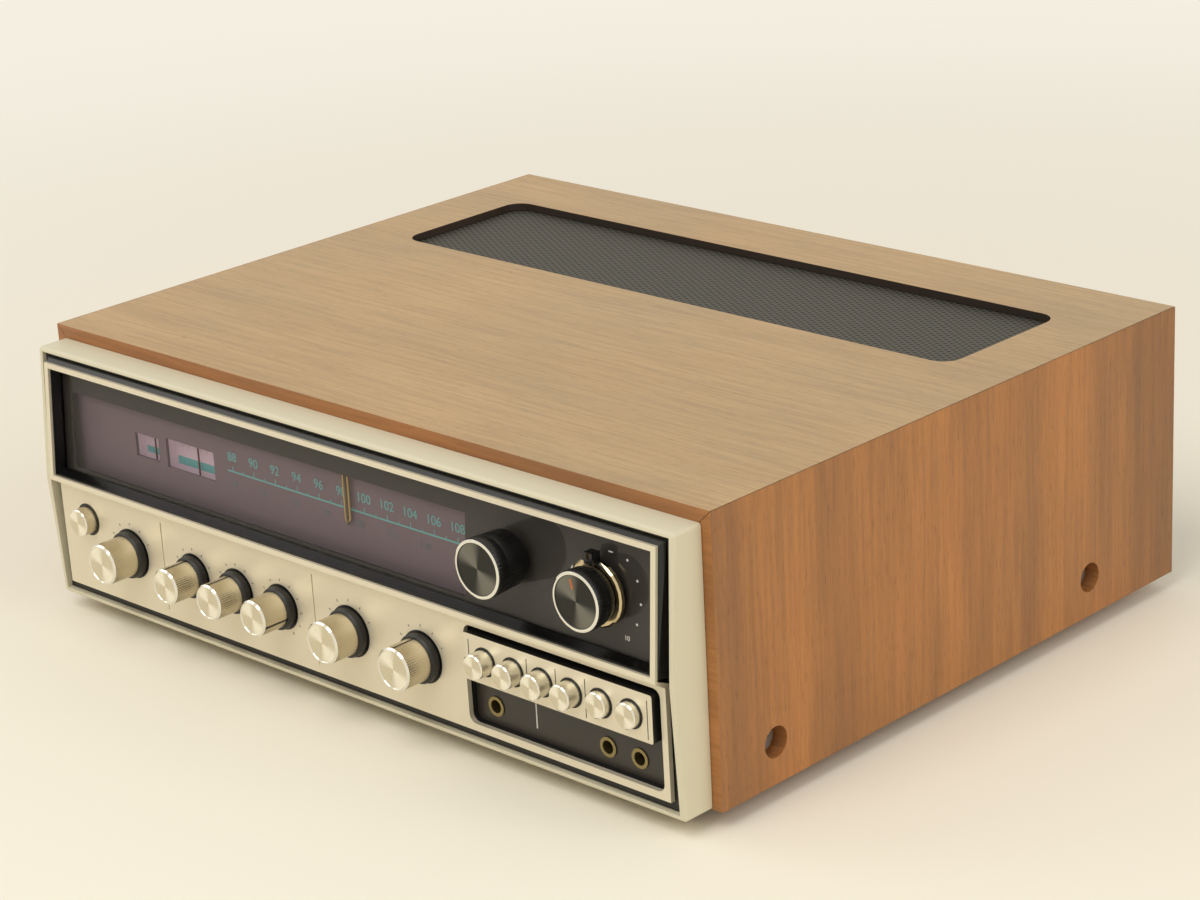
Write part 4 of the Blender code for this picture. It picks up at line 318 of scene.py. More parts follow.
def glass():
    """The dial glass: clear to look through, and a mirror at a shallow angle, only on faces turned towards
    the eye.
    """
    made, tree, shader = new_material("dial_glass")
    tree.nodes.remove(shader)
    clear = tree.nodes.new("ShaderNodeBsdfTransparent")
    clear.inputs["Color"].default_value = (0.92, 0.90, 0.91, 1.0)
    shine = tree.nodes.new("ShaderNodeBsdfGlossy")
    shine.inputs["Roughness"].default_value = 0.03
    facing = tree.nodes.new("ShaderNodeLayerWeight")
    facing.inputs["Blend"].default_value = 0.5
    power = tree.nodes.new("ShaderNodeMath")
    power.operation = "POWER"
    power.inputs[1].default_value = 5.0
    tree.links.new(facing.outputs["Facing"], power.inputs[0])
    share = tree.nodes.new("ShaderNodeMapRange")
    share.inputs["To Min"].default_value = 0.03
    tree.links.new(power.outputs["Value"], share.inputs["Value"])
    side = tree.nodes.new("ShaderNodeNewGeometry")
    outer = tree.nodes.new("ShaderNodeMath")
    outer.operation = "SUBTRACT"
    outer.use_clamp = True
    tree.links.new(share.outputs["Result"], outer.inputs[0])
    tree.links.new(side.outputs["Backfacing"], outer.inputs[1])
    mix = tree.nodes.new("ShaderNodeMixShader")
    tree.links.new(outer.outputs["Value"], mix.inputs["Fac"])
    tree.links.new(clear.outputs["BSDF"], mix.inputs[1])
    tree.links.new(shine.outputs["BSDF"], mix.inputs[2])
    tree.links.new(mix.outputs["Shader"], tree.nodes["Material Output"].inputs["Surface"])
    return made


WALNUT_TOP = wood("walnut_top", (190, 156, 108), (178, 145, 99), "X", pores=0.45)
WALNUT_SIDE = wood("walnut_side", (182, 120, 60), (146, 98, 52), "Z", pores=0.6)
VENT_WALL = wood("vent_wall", (58, 42, 30), (40, 29, 20), "X", pores=0.3)
WALNUT_EDGE = wood("walnut_edge", (182, 124, 70), (156, 102, 56), "X", pores=0.3)
CREAM = plain("cream_paint", (214, 206, 178), 0.42, grain=0.1, scale=700.0)
CHAMPAGNE = brushed("champagne", (227, 217, 193), 0.40, "X", metallic=0.5)
ALUMINIUM = brushed("aluminium", (226, 222, 208), 0.30, "Y", metallic=1.0)
FLUTED = lathe("fluted_aluminium", (212, 203, 182), 0.26, flutes=60)
# Small knob faces and buttons: turned aluminium with a painted highlight wedge in its colour
TURNED = lathe("turned_aluminium", (214, 204, 178), 0.30, metallic=0.8, anisotropy=0.75,
    painted_highlight=(248, 242, 224))
RIBBED = lathe("ribbed_black", (10, 10, 10), 0.38, metallic=0.0, flutes=48)
RING_METAL = plain("ring_metal", (206, 188, 150), 0.16, metallic=1.0, grain=0.02)
# Black print on the glass, lightened to a grey-green: the print plus a painted reflection veil of the glass
MASK = brushed("mask_print_and_painted_reflection", (60, 59, 51), 0.6, "X", metallic=0.0)
REAR_PAINT = plain("rear_paint", (54, 53, 50), 0.5, grain=0.25, scale=1400.0)
WHITE_INSULATOR = plain("white_insulator", (214, 210, 198), 0.4, grain=0.05)
RED_INSULATOR = plain("red_insulator", (150, 44, 36), 0.4, grain=0.05)
BROWN = plain("brown_bakelite", (62, 42, 30), 0.35, grain=0.05)
POLISHED = plain("polished_aluminium", (235, 232, 222), 0.1, metallic=1.0, grain=0.05)
BLACK = plain("black_satin", (16, 16, 16), 0.42, grain=0.1)
BLACK_GLOSS = plain("black_gloss", (12, 12, 12), 0.22, grain=0.05)
# Large knob faces: spun black metal with a painted highlight wedge in its colour
SPUN = lathe("spun_black", (52, 51, 47), 0.34, metallic=0.85, anisotropy=0.85,
    painted_highlight=(122, 119, 110))
DIAL = brushed("dial_face", (124, 110, 113), 0.5, "X", metallic=0.0)
# The meter faces glow though the dial lamps are off: painted light that lifts the shade of their deep windows
METER = plain("meter_face", (196, 176, 182), 0.5, grain=0.02, glow=0.25)
# The teal print glows a little: painted light
TEAL = plain("teal_print", (104, 172, 166), 0.5, grain=0.02, glow=0.15)
FAINT = plain("faint_teal_print", (104, 122, 122), 0.5, grain=0.02)
PALE = plain("pale_print", (196, 190, 170), 0.5, grain=0.05)
WHITE = plain("white_print", (222, 220, 210), 0.5, grain=0.05)
ORANGE = plain("orange_mark", (196, 98, 40), 0.45, grain=0.05)
# The gold pointer edges and balance tip glow a little: painted light
GOLD = plain("gold", (204, 176, 96), 0.35, metallic=0.3, grain=0.02, glow=0.1)
BLADE = plain("pointer_blade", (84, 74, 66), 0.4, grain=0.02)
STEEL = brushed("zinc_steel", (170, 170, 166), 0.36, "X")
BRASS = plain("brass", (150, 134, 92), 0.35, metallic=0.9, grain=0.05)
JACK_BLACK = plain("jack_black", (52, 47, 40), 0.35, grain=0.05)
DARK_RED = plain("needle_red", (96, 44, 40), 0.4, grain=0.05)
NYLON = plain("nylon", (214, 210, 196), 0.5, grain=0.05)
LAMP = plain("lamp_glass", (235, 225, 190), 0.15, grain=0.05)
BOARD = plain("circuit_board", (64, 96, 58), 0.5, grain=0.1)
RUBBER = plain("rubber", (22, 22, 22), 0.8, grain=0.2)
GRILLE = grille()
GLASS = glass()

FINISH = {
    "cabinet_top": WALNUT_TOP, "cabinet_left_side": WALNUT_SIDE, "cabinet_right_side": WALNUT_SIDE,
    "vent_grille": GRILLE, "bezel": CREAM, "bezel_liner": BLACK, "front_panel": CHAMPAGNE,
    "window_surround": BLACK_GLOSS, "dial_glass": GLASS, "dial_mask": MASK, "dial_plate": DIAL,
    "dial_lamps": LAMP, "meters": METER, "signal_needle": DARK_RED, "tuning_needle": DARK_RED,
    "dial_pointer": BLADE,
    "dial_cord": NYLON, "dial_drum": NYLON, "tuning_knob": SPUN, "volume_knob": SPUN,
    "balance_ring": CHAMPAGNE,
    "power_button": CHAMPAGNE, "button_plate": CHAMPAGNE, "jack_panel": JACK_BLACK,
    "bottom_cover": RUBBER,
    "rear_panel": BLACK, "filter_capacitors": BLACK, "antenna_bar": BLACK, "circuit_board": BOARD,
    "heat_sink": ALUMINIUM,
}
for name, node in NODES.items():
    finish = FINISH.get(name, STEEL)
    if name.startswith("push_button"):
        finish = CHAMPAGNE
    elif name.startswith("front_jack"):
        finish = BRASS
    elif name.endswith("_knob") and name not in FINISH:
        finish = ALUMINIUM
    node.data.materials.clear()
    node.data.materials.append(finish)


def at(x, y, z):
    """A point of the cabinet's frame, in the world."""
    return ORIGIN + Vector((x, y, z))


def add_mesh(name, points, faces, finishes, body, smooth=False, indexes=None,
        origin=(0.0, 0.0, 0.0)):
    """Make a piece of the finish that rides on a body."""
    mesh = bpy.data.meshes.new(name)
    mesh.from_pydata([tuple(p) for p in points], [], faces)
    for finish in finishes:
        mesh.materials.append(finish)
    if indexes:
        for polygon, index in zip(mesh.polygons, indexes):
            polygon.material_index = index
    bm = bmesh.new()
    bm.from_mesh(mesh)
    bmesh.ops.recalc_face_normals(bm, faces=bm.faces)
    bm.to_mesh(mesh)
    bm.free()
    if smooth:
        mesh.shade_smooth()
        mesh.set_sharp_from_angle(angle=math.radians(28))
    obj = bpy.data.objects.new(name, mesh)
    obj.location = origin
    bpy.context.collection.objects.link(obj)
    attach(obj, body)
    return obj


def turned(name, profile, centre, body, finishes, faces=96):
    """A round piece about an axis along Y.

    Its profile holds radius, place and the finish up to the next point.
    """
    points = []
    polygons = []
    indexes = []
    for radius, place, _ in profile:
        for i in range(faces):
            turn = 2 * math.pi * i / faces
            points.append(Vector((radius * math.cos(turn), place, radius * math.sin(turn))))
    for k in range(len(profile) - 1):
        for i in range(faces):
            j = (i + 1) % faces
            polygons.append((k * faces + i, k * faces + j, (k + 1) * faces + j,
                (k + 1) * faces + i))
            indexes.append(profile[k][2])
    polygons.append(tuple(range(faces)))
    indexes.append(profile[0][2])
    last = (len(profile) - 1) * faces
    polygons.append(tuple(last + i for i in range(faces)))
    indexes.append(profile[-1][2])
    return add_mesh(name, points, polygons, finishes, body, smooth=True, indexes=indexes,
        origin=centre)


def prism(name, outline, near, far, finish, body="receiver"):
    """A flat piece with an outline in X and Z, in world places, between two depths."""
    count = len(outline)
    points = [Vector((x, near, z)) for x, z in outline] + [Vector((x, far, z)) for x, z in outline]
    polygons = [tuple(range(count)), tuple(range(count, 2 * count))]
    polygons += [(i, (i + 1) % count, count + (i + 1) % count, count + i) for i in range(count)]
    return add_mesh(name, points, polygons, [finish], body)


def bar(name, left, right, bottom, top, near, far, finish, body="receiver"):
    return prism(name, ((left, bottom), (right, bottom), (right, top), (left, top)), near, far,
        finish, body)


def middle(name):
    low, high = BOX[name]
    return [(low[i] + high[i]) / 2 for i in range(3)]


def axis_of(joint):
    for entry in frame["record"]["behaviour"]["joints"]:
        if entry["name"] == joint:
            return Vector(entry["pos_m"])


def split_by(node, rule, finishes):
    """Give the faces of a CAD node their own finishes: the rule takes a face's centre and normal."""
    mesh = NODES[node].data
    mesh.materials.clear()
    for finish in finishes:
        mesh.materials.append(finish)
    for polygon in mesh.polygons:
        polygon.material_index = rule(polygon.center, polygon.normal)


# Turned knobs
SKIRT_START = 0.004
SKIRT_EXTRA = 0.0015
CHAMFER = 0.0008
MARK_WIDTH = 0.0009
MARK_PROUD = 0.0001
KNOB_TURNS = {"speakers": -90, "bass": 0, "mid": 0, "treble": 110, "mode": -45, "selector": 0}


def make_small_knob(name):
    node = f"{name}_knob"
    low, high = BOX[node]
    pivot = axis_of(f"{name}_turn")
    skirt = (high[0] - low[0]) / 2
    radius = skirt - SKIRT_EXTRA
    face = low[1]
    rear = ORIGIN.y - 0.0185
    skirt_front = rear - SKIRT_START
    shaft = 0.003
    centre = Vector((pivot.x, 0.0, pivot.z))
    profile = (
        (radius * 0.06, face + 0.00035, 3), (radius - CHAMFER * 1.6, face + 0.00035, 1),
        (radius - CHAMFER * 1.3, face, 1), (radius - CHAMFER, face, 1), (radius, face + CHAMFER, 0),
        (radius, skirt_front, 2), (skirt - CHAMFER, skirt_front, 2),
        (skirt, skirt_front + CHAMFER, 2),
        (skirt, rear, 2), (shaft, rear, 2), (shaft, high[1], 2))
    turned(f"{name}_knob_look", profile, centre, name, [FLUTED, POLISHED, BLACK, TURNED])
    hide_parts(node)
    turn = math.radians(KNOB_TURNS[name])
    along = Vector((math.cos(turn), 0, -math.sin(turn))) * (MARK_WIDTH / 2)
    out = Vector((math.sin(turn), 0, math.cos(turn)))
    points = []
    for place in (face + CHAMFER, skirt_front):
        for reach in (radius - MARK_PROUD, radius + MARK_PROUD):
            for side in (-1, 1):
                points.append(centre + out * reach + along * side + Vector((0, place, 0)))
    polygons = ((0, 1, 3, 2), (4, 5, 7, 6), (0, 1, 5, 4), (2, 3, 7, 6), (0, 2, 6, 4), (1, 3, 7, 5))
    add_mesh(f"{name}_mark", points, polygons, [BLACK], name)
    return centre, radius


def make_large_knob(node, body, joint, rear_gap):
    low, high = BOX[node]
    pivot = axis_of(joint)
    radius = (high[0] - low[0]) / 2
    face = low[1]
    rear = ORIGIN.y + rear_gap
    rim = radius - 0.0004
    grip = rear - 0.0012
    profile = [
        (radius * 0.06, face + 0.0005, 0), (rim - 0.0017, face + 0.0005, 2),
        (rim - 0.0014, face + 0.0001, 1),
        (rim - 0.0006, face, 1), (rim, face + 0.0003, 2), (radius, face + 0.0012, 2),
        (radius * 0.985, face + 0.006, 2), (radius * 0.965, face + 0.0066, 2),
        (radius * 0.965, face + 0.0072, 2),
        (radius * 0.975, face + 0.0078, 2), (radius * 0.93, grip, 2), (radius * 0.90, rear, 2),
        (0.003, rear, 2),
        (0.003, high[1], 2)]
    turned(f"{node}_look", profile, Vector((pivot.x, 0.0, pivot.z)), body, [SPUN, POLISHED, RIBBED])
    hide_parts(node)
    return Vector((pivot.x, face, pivot.z)), rim


def make_button(node, body, radius, length, side):
    low, high = BOX[node]
    centre = Vector(((low[0] + high[0]) / 2, 0.0, (low[2] + high[2]) / 2))
    face = low[1]
    edge = 0.0005
    stem = 0.0025
    profile = (
        (radius * 0.06, face, 0), (radius - edge, face, 1), (radius, face + edge, 3),
        (radius, face + length, 2),
        (stem, face + length, 2), (stem, high[1], 2))
    turned(f"{node}_look", profile, centre, body, [TURNED, POLISHED, BLACK, side])
    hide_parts(node)


def plate_y(z):
    """The front of the lower panel at a height in the cabinet's frame."""
    return -0.0177 - 0.0005 * (z - 0.0077) / 0.0535


def make_ticks(centre, count=11, first=-150.0, last=150.0, reach=TICK_REACH):
    for i in range(count):
        turn = math.radians(first + (last - first) * i / (count - 1))
        out = Vector((math.sin(turn), 0, math.cos(turn)))
        across = Vector((math.cos(turn), 0, -math.sin(turn))) * (TICK_WIDTH / 2)
        inner = centre + out * reach
        outer = centre + out * (reach + TICK_LENGTH)
        height = inner.z - ORIGIN.z
        if not 0.0085 < height < 0.0600:
            continue
        front = ORIGIN.y + plate_y(height) - SKIN
        outline = [(p.x, p.z) for p in (inner - across, inner + across, outer + across,
            outer - across)]
        prism(f"tick_{centre.x:.3f}_{i}", outline, front, front + 2 * SKIN, BLACK)


for knob in KNOB_TURNS:
    place = make_small_knob(knob)[0]
    tone = knob in ("bass", "mid", "treble")
    make_ticks(place, *((11, -150.0, 150.0, 0.0132) if tone else (5, -60.0, 60.0, 0.0150)))

make_large_knob("tuning_knob", "tuning", "tuning_turn", -0.0165)
VOLUME_FACE, VOLUME_RIM = make_large_knob("volume_knob", "volume", "volume_turn", -0.0192)
for number in range(1, 7):
    make_button(f"push_button_{number}", f"button_{number}", 0.006, 0.0125, ALUMINIUM)
make_button("power_button", "power", 0.007, 0.011, FLUTED)


def make_volume_mark():
    turn = math.radians(-15)
    out = Vector((math.sin(turn), 0, math.cos(turn)))
    across = Vector((math.cos(turn), 0, -math.sin(turn))) * 0.0005
    base = VOLUME_FACE + Vector((0, 0.0005, 0))
    near, far = base + out * (VOLUME_RIM * 0.42), base + out * (VOLUME_RIM * 0.74)
    outline = [(p.x, p.z) for p in (near - across, near + across, far + across, far - across)]
    prism("volume_mark", outline, base.y - SKIN, base.y + SKIN, ORANGE, "volume")


make_volume_mark()


def is_tab(centre, normal):
    return 1 if centre.z > BOX["volume_knob"][1][2] - 0.0002 and centre.y < ORIGIN.y - 0.0150 else 0


split_by("balance_ring", is_tab, [RING_METAL, BLACK_GLOSS])


def make_balance_tip():
    low, high = BOX["balance_ring"]
    x = middle("balance_ring")[0]
    bar("balance_tip", x - 0.0008, x + 0.0008, high[2] - 0.0030, high[2] - 0.0002, low[1],
        low[1] + SKIN, GOLD, "balance")


make_balance_tip()


def ring(name, centre, inner, outer, front, finish, faces=64):
    """A thin flat ring on a surface that faces forward; front gives its place at a height."""
    points = []
    for reach in (inner, outer):
        for i in range(faces):
            turn = 2 * math.pi * i / faces
            x, z = centre.x + reach * math.cos(turn), centre.z + reach * math.sin(turn)
            points.append(Vector((x, front(z - ORIGIN.z) - SKIN, z)))
    points += [p + Vector((0, SKIN / 2, 0)) for p in points]
    polygons = []
    for i in range(faces):
        j = (i + 1) % faces
        polygons += [
            (i, j, faces + j, faces + i),
            (2 * faces + i, 2 * faces + j, 3 * faces + j, 3 * faces + i),
            (i, j, 2 * faces + j, 2 * faces + i),
            (faces + i, faces + j, 3 * faces + j, 3 * faces + i)]
    add_mesh(name, points, polygons, [finish], "receiver")


def panel_front(z):
    return ORIGIN.y + plate_y(z)


def button_plate_front(z):
    return BOX["button_plate"][0][1]


def jack_panel_front(z):
    return BOX["jack_panel"][0][1]


def make_rings():
    for knob in KNOB_TURNS:
        low, high = BOX[f"{knob}_knob"]
        # A black ring on the panel, just wider than the knob's skirt: painted shade and reflection of the
        # skirt on the panel
        ring(f"{knob}_painted_shade", axis_of(f"{knob}_turn"), 0.0036, (high[0] - low[0]) / 2 + 0.0010,
            panel_front, BLACK)
    for i in range(1, 7):
        low, high = BOX[f"push_button_{i}"]
        centre = Vector(((low[0] + high[0]) / 2, 0, (low[2] + high[2]) / 2))
        ring(f"button_hole_{i}", centre, 0.0062, 0.0070, button_plate_front, BLACK)
    low, high = BOX["power_button"]
    centre = Vector(((low[0] + high[0]) / 2, 0, (low[2] + high[2]) / 2))
    ring("power_base", centre, 0.0072, 0.0084, panel_front, BLACK)


make_rings()


def make_lines():
    """Dark lines between the buttons and a pale one across the jack panel."""
    low, high = BOX["button_plate"]
    pitch = (middle("push_button_6")[0] - middle("push_button_1")[0]) / 5
    first = middle("push_button_1")[0]
    front = button_plate_front(0)
    for i, share in enumerate((-0.55, 1.5, 2.5, 3.5, 5.55)):
        x = first + share * pitch
        bar(f"plate_line_{i}", x - 0.00016, x + 0.00016, low[2] + 0.0016, high[2] - 0.0028,
            front - SKIN, front, BLACK)
    x = first + 1.25 * pitch
    front = jack_panel_front(0)
    bar("jack_line", x - 0.00035, x + 0.00035, ORIGIN.z + 0.0165, ORIGIN.z + 0.0310, front - SKIN,
        front, WHITE)


make_lines()

split_by("button_plate", lambda centre, normal: 0 if normal.y < -0.5 else 1, [CHAMPAGNE, BLACK])
WOOD_FRONT = ORIGIN.y + 0.0015
WOOD_BACK = BOX["cabinet_top"][1][1] - 0.010


def top_face(centre, normal):
    if normal.y < -0.5 and centre.y < WOOD_FRONT:
        return 1
    upright = abs(normal.z) < 0.5
    return 2 if upright and abs(centre.x) < 0.2 and WOOD_FRONT < centre.y < WOOD_BACK else 0


split_by("cabinet_top", top_face, [WALNUT_TOP, WALNUT_EDGE, VENT_WALL])
for side_name in ("cabinet_left_side", "cabinet_right_side"):
    split_by(side_name, lambda centre, normal: 1 if normal.y < -0.5 else 0,
        [WALNUT_SIDE, WALNUT_EDGE])


# The back
REAR_WALL = ORIGIN.y + 0.3275
SOCKET_END = ORIGIN.y + 0.3350
PHONO_FIRST = -0.161304
PHONO_PITCH = 0.0179916
SOCKET_HEIGHT = ORIGIN.z + 0.045
SPEAKER_LEFT = 0.020
SPEAKER_RIGHT = 0.090
SPEAKER_BOTTOM = 0.034
SPEAKER_TOP = 0.056
OUTLET_LEFT = 0.110
OUTLET_BOTTOM = 0.034


def rear_face(centre, normal):
    if centre.y < REAR_WALL + 0.0002:
        return 0
    if centre.z > ORIGIN.z + 0.08:
        return 3
    return 1 if centre.x < -0.02 else 2


split_by("rear_panel", rear_face, [REAR_PAINT, RING_METAL, BROWN, STEEL])


def frame_lines(name, left, right, bottom, top):
    """A thin printed frame on the rear panel."""
    wide = 0.0004
    low, high = ORIGIN.z + bottom, ORIGIN.z + top
    for part, box in (("left", (left, left + wide, low, high)),
        ("right", (right - wide, right, low, high)),
                      ("bottom", (left, right, low, low + wide)),
                      ("top", (left, right, high - wide, high))):
        bar(f"{name}_{part}", *box, REAR_WALL, REAR_WALL + SKIN, PALE)


def screw_head(name, x, z, radius, reach):
    """A brass screw head in a terminal block."""
    profile = ((radius * 0.05, reach, 0), (radius * 0.85, reach, 0), (radius, reach - 0.0003, 0),
               (radius, 0.0, 0), (radius * 0.05, 0.0, 0))
    turned(name, profile, Vector((x, SOCKET_END, z)), "receiver", [BRASS], faces=24)


def make_back():
    for i in range(8):
        x = PHONO_FIRST + i * PHONO_PITCH
        tone = RED_INSULATOR if i % 2 else WHITE_INSULATOR
        ring(f"phono_insulator_{i}", Vector((x, 0, SOCKET_HEIGHT)), 0.0013, 0.0034,
             lambda z: SOCKET_END + 2 * SKIN, tone, faces=32)
    frame_lines("phono_frame", PHONO_FIRST - 0.0105, PHONO_FIRST + 7 * PHONO_PITCH + 0.0105, 0.030,
        0.060)
    frame_lines("speaker_frame", SPEAKER_LEFT - 0.004, SPEAKER_RIGHT + 0.004,
        SPEAKER_BOTTOM - 0.004, SPEAKER_TOP + 0.004)
    frame_lines("power_frame", OUTLET_LEFT - 0.004, 0.200, 0.026, 0.066)
    for i in range(8):
        column, row = divmod(i, 2)
        x = SPEAKER_LEFT + (SPEAKER_RIGHT - SPEAKER_LEFT) * (column + 0.5) / 4
        z = ORIGIN.z + SPEAKER_BOTTOM + (SPEAKER_TOP - SPEAKER_BOTTOM) * (row + 0.5) / 2
        screw_head(f"speaker_screw_{i}", x, z, 0.0026, 0.0012)
    for i in range(2):
        x = OUTLET_LEFT + 0.034 * (0.28 + 0.44 * i)
        for k, offset in enumerate((-0.0030, 0.0030)):
            low = ORIGIN.z + OUTLET_BOTTOM + 0.0080
            bar(f"outlet_slot_{i}_{k}", x + offset - 0.0008, x + offset + 0.0008, low, low + 0.0080,
                SOCKET_END, SOCKET_END + SKIN, BLACK)
    for i in range(9):
        x = -0.190 + i * 0.0475
        turned(f"rear_screw_{i}",
            ((0.0002, 0.0011, 0), (0.0024, 0.0009, 0), (0.0030, 0.0002, 0), (0.0030, 0.0, 0),
               (0.0002, 0.0, 0)), Vector((x, REAR_WALL, ORIGIN.z + 0.012)), "receiver", [STEEL],
               faces=24)


make_back()


# The dial behind the glass
GLASS_THICKNESS = 0.002
SCALE_Z = 0.0914
SCALE_LEFT = -0.0856
SCALE_RIGHT = 0.0774
NUMERAL_SIZE = 0.0066
POINTER_X = 0.002068
POINTER_LOW = 0.0875
POINTER_HIGH = 0.1090


def glass_front(z):
    """The glass leans: its front at a height of the cabinet's frame, in world Y."""
    low, high = BOX["dial_glass"]
    share = (z + ORIGIN.z - low[2]) / (high[2] - low[2])
    return low[1] + share * (high[1] - GLASS_THICKNESS - low[1])


def number(name, words, x, z, size, y, finish, body="receiver", turn=0.0):
    """Plain numerals, as a flat mesh."""
    curve = bpy.data.curves.new(name, "FONT")
    curve.body = words
    curve.size = size
    curve.align_x = "CENTER"
    curve.align_y = "CENTER"
    curve.extrude = SKIN / 2
    text = bpy.data.objects.new(name, curve)
    bpy.context.collection.objects.link(text)
    graph = bpy.context.evaluated_depsgraph_get()
    mesh = bpy.data.meshes.new_from_object(text.evaluated_get(graph))
    bpy.data.objects.remove(text)
    mesh.transform(Matrix.Rotation(math.radians(90), 4, "X"))
    mesh.transform(Matrix.Rotation(turn, 4, "Y"))
    mesh.transform(Matrix.Translation((x, y, z)))
    mesh.materials.clear()
    mesh.materials.append(finish)
    obj = bpy.data.objects.new(name, mesh)
    bpy.context.collection.objects.link(obj)
    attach(obj, body)


def make_scale():
    front = BOX["dial_plate"][0][1] - SKIN
    zero = ORIGIN.z + SCALE_Z
    bar("scale_line", SCALE_LEFT, SCALE_RIGHT, zero - 0.0004, zero + 0.0004, front, front + SKIN,
        TEAL)
    steps = 20
    for i in range(steps + 1):
        x = SCALE_LEFT + 0.004 + (SCALE_RIGHT - SCALE_LEFT - 0.008) * i / steps
        tall = 0.0028 if i % 2 == 0 else 0.0016
        bar(f"scale_tick_{i}", x - 0.0002, x + 0.0002, zero, zero + tall, front, front + SKIN, TEAL)
        if i % 2 == 0:
            number(f"scale_number_{i}", str(88 + i), x, zero + 0.0072, NUMERAL_SIZE,
                front + SKIN / 2, TEAL)
    for i, mark in enumerate((54, 60, 70, 80, 100, 120, 140, 160)):
        x = SCALE_LEFT + 0.004 + (SCALE_RIGHT - SCALE_LEFT - 0.008) * i / 7
        number(f"low_number_{i}", str(mark), x, zero - 0.0062, NUMERAL_SIZE * 0.8, front + SKIN / 2,
            FAINT)


make_scale()


def make_pointer_outline():
    """Two gold edges and a slanted foot round the pointer's dark blade."""
    x = POINTER_X
    front = BOX["dial_pointer"][0][1]
    back = front + 0.0006
    low, high = ORIGIN.z + POINTER_LOW, ORIGIN.z + POINTER_HIGH
    half, wide = 0.0018, 0.0005
    bar("pointer_edge_left", x - half, x - half + wide, low, high, front, back, GOLD, "pointer")
    bar("pointer_edge_right", x + half - wide, x + half, low, high, front, back, GOLD, "pointer")
    foot = ((x - half, low), (x - half + 0.0009, low - 0.0026), (x - half + 0.0016, low - 0.0026),
            (x + half, low), (x + half - wide, low), (x - half + 0.0012, low - 0.0018),
            (x - half + wide, low))
    prism("pointer_foot", foot, front, back, GOLD, "pointer")


make_pointer_outline()


# Left, right, bottom and top of each meter's window, from the cabinet's middle and bottom.
METER_WINDOWS = (
    ("signal", -0.1556, -0.1376, 0.0839, 0.0959),
    ("tuning", -0.1316, -0.0956, 0.0829, 0.0979),
)
METER_TICKS = 7


def make_meter_faces():
    depth = ORIGIN.y - 0.0002
    for name, left, right, bottom, top in METER_WINDOWS:
        base = ORIGIN.z + bottom
        height = top - bottom
        bar(f"{name}_band", left, right, base, base + height * 0.28, depth - SKIN, depth, TEAL)
        for i in range(METER_TICKS):
            x = left + (right - left) * (i + 1) / (METER_TICKS + 1)
            bar(f"{name}_tick_{i}", x - 0.00015, x + 0.00015, base + height * 0.62,
                base + height * 0.78,
                depth - SKIN, depth, PALE)


make_meter_faces()


def make_glass_print():
    """White dots and figures round the volume knob, on the glass."""
    centre = axis_of("volume_turn")
    reach = 0.0235
    for i, degrees in enumerate((42, 66, 91, 115)):
        turn = math.radians(degrees)
        x = centre.x + reach * math.sin(turn)
        z = centre.z + reach * math.cos(turn)
        outline = [(x + 0.0006 * math.cos(math.pi * k / 6),
            z + 0.0006 * math.sin(math.pi * k / 6)) for k in range(12)]
        front = glass_front(z - ORIGIN.z) - SKIN
        prism(f"volume_dot_{i}", outline, front, front + SKIN / 2, WHITE)
    turn = math.radians(138)
    z = centre.z + reach * math.cos(turn)
    number("volume_ten", "10", centre.x + reach * math.sin(turn), z, 0.0032,
        glass_front(z - ORIGIN.z) - SKIN, WHITE)
    for name, x, z in (("volume_bar", 0.1745, 0.1140), ("volume_spot", 0.1566, 0.1051)):
        place = at(x, 0, z)
        front = glass_front(z) - SKIN
        bar(name, place.x - 0.0012, place.x + 0.0012, place.z - 0.0003, place.z + 0.0003, front,
            front + SKIN / 2, WHITE)


make_glass_print()
TRIANGLE_X = 0.152
TRIANGLE_Z = 0.1015
TRIANGLE_HALF_WIDTH = 0.0013
TRIANGLE_BELOW = 0.0010
TRIANGLE_ABOVE = 0.0014


def make_volume_triangle():
    corner = at(TRIANGLE_X, 0, TRIANGLE_Z)
    face = glass_front(TRIANGLE_Z) - SKIN
    prism("volume_triangle",
          ((corner.x - TRIANGLE_HALF_WIDTH, corner.z - TRIANGLE_BELOW),
           (corner.x + TRIANGLE_HALF_WIDTH, corner.z - TRIANGLE_BELOW),
           (corner.x, corner.z + TRIANGLE_ABOVE)),
          face, face + SKIN / 2, WHITE)


make_volume_triangle()


# Studio
FLOOR_HALF = 8.0
FLOOR_COLOUR = (247, 240, 222)
BACKDROP_COLOUR = (245, 239, 226)
AMBIENT = 0.6


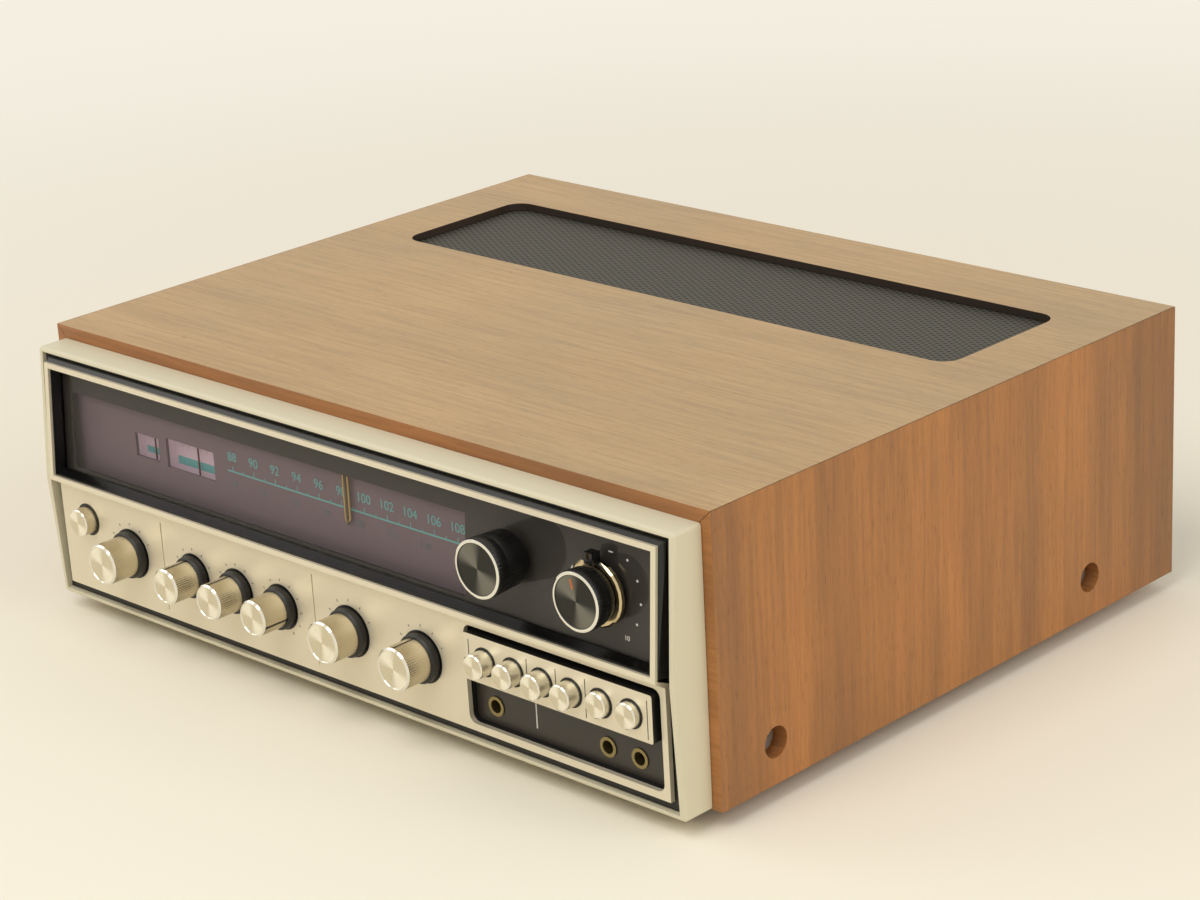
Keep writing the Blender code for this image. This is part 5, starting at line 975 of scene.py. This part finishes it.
def make_floor():
    made, tree, shader = new_material("floor")
    shader.inputs["Base Color"].default_value = colour(FLOOR_COLOUR)
    shader.inputs["Roughness"].default_value = 0.9
    place = tree.nodes.new("ShaderNodeTexCoord")
    reach = tree.nodes.new("ShaderNodeVectorMath")
    reach.operation = "LENGTH"
    tree.links.new(place.outputs["Object"], reach.inputs[0])
    share = tree.nodes.new("ShaderNodeMapRange")
    share.interpolation_type = "SMOOTHSTEP"
    share.inputs["From Min"].default_value = 0.35
    share.inputs["From Max"].default_value = 1.5
    tree.links.new(reach.outputs["Value"], share.inputs["Value"])
    path = tree.nodes.new("ShaderNodeLightPath")
    either = tree.nodes.new("ShaderNodeMath")
    either.operation = "MAXIMUM"
    tree.links.new(path.outputs["Is Camera Ray"], either.inputs[0])
    tree.links.new(path.outputs["Is Glossy Ray"], either.inputs[1])
    clear = tree.nodes.new("ShaderNodeMath")
    clear.operation = "MAXIMUM"
    tree.links.new(either.outputs["Value"], clear.inputs[0])
    tree.links.new(path.outputs["Is Transmission Ray"], clear.inputs[1])
    both = tree.nodes.new("ShaderNodeMath")
    both.operation = "MULTIPLY"
    tree.links.new(clear.outputs["Value"], both.inputs[0])
    tree.links.new(share.outputs["Result"], both.inputs[1])
    glow = tree.nodes.new("ShaderNodeEmission")
    glow.inputs["Color"].default_value = colour(BACKDROP_COLOUR)
    mix = tree.nodes.new("ShaderNodeMixShader")
    tree.links.new(both.outputs["Value"], mix.inputs["Fac"])
    tree.links.new(shader.outputs["BSDF"], mix.inputs[1])
    tree.links.new(glow.outputs["Emission"], mix.inputs[2])
    tree.links.new(mix.outputs["Shader"], tree.nodes["Material Output"].inputs["Surface"])
    mesh = bpy.data.meshes.new("floor")
    corners = [(sx * FLOOR_HALF, sy * FLOOR_HALF, 0.0) for sx,
        sy in ((-1, -1), (1, -1), (1, 1), (-1, 1))]
    mesh.from_pydata(corners, [], [(0, 1, 2, 3)])
    mesh.materials.append(made)
    floor = bpy.data.objects.new("floor", mesh)
    bpy.context.collection.objects.link(floor)


def make_world():
    world = bpy.data.worlds.new("studio")
    bpy.context.scene.world = world
    world.use_nodes = True
    tree = world.node_tree
    lit = tree.nodes["Background"]
    lit.inputs["Color"].default_value = colour((252, 249, 242))
    lit.inputs["Strength"].default_value = AMBIENT
    shown = tree.nodes.new("ShaderNodeBackground")
    shown.inputs["Color"].default_value = colour(BACKDROP_COLOUR)
    path = tree.nodes.new("ShaderNodeLightPath")
    seen = path.outputs["Is Camera Ray"]
    for other in ("Is Glossy Ray", "Is Transmission Ray"):
        either = tree.nodes.new("ShaderNodeMath")
        either.operation = "MAXIMUM"
        tree.links.new(seen, either.inputs[0])
        tree.links.new(path.outputs[other], either.inputs[1])
        seen = either.outputs["Value"]
    mix = tree.nodes.new("ShaderNodeMixShader")
    tree.links.new(seen, mix.inputs["Fac"])
    tree.links.new(lit.outputs["Background"], mix.inputs[1])
    tree.links.new(shown.outputs["Background"], mix.inputs[2])
    tree.links.new(mix.outputs["Shader"], tree.nodes["World Output"].inputs["Surface"])


def make_lamp(name, place, size, power, target=(0.0, 0.0, 0.07)):
    light = bpy.data.lights.new(name, "AREA")
    light.shape = "SQUARE"
    light.size = size
    light.energy = power
    lamp = bpy.data.objects.new(name, light)
    lamp.location = place
    aim = Vector(target) - Vector(place)
    lamp.rotation_euler = aim.to_track_quat("-Z", "Y").to_euler()
    bpy.context.collection.objects.link(lamp)


def make_camera():
    made = bpy.data.cameras.new("camera")
    made.sensor_width = SENSOR_WIDTH
    made.lens = CAMERA_LENS
    made.clip_start = 0.01
    camera = bpy.data.objects.new("camera", made)
    forward = Vector(CAMERA_FORWARD)
    right = Vector(CAMERA_RIGHT)
    turn = Matrix((right, right.cross(forward), forward * -1.0)).transposed()
    camera.matrix_world = Matrix.Translation(ORIGIN + Vector(CAMERA_PLACE)) @ turn.to_4x4()
    bpy.context.collection.objects.link(camera)
    bpy.context.scene.camera = camera


make_floor()
make_world()
make_lamp("key", (0.3, -1.6, 2.2), 1.6, 26.0)
make_lamp("side", (2.4, 0.2, 1.5), 1.6, 16.0)
make_lamp("fill", (-2.0, -1.2, 1.6), 1.6, 8.0)
make_camera()
bpy.context.scene.view_settings.view_transform = "Standard"
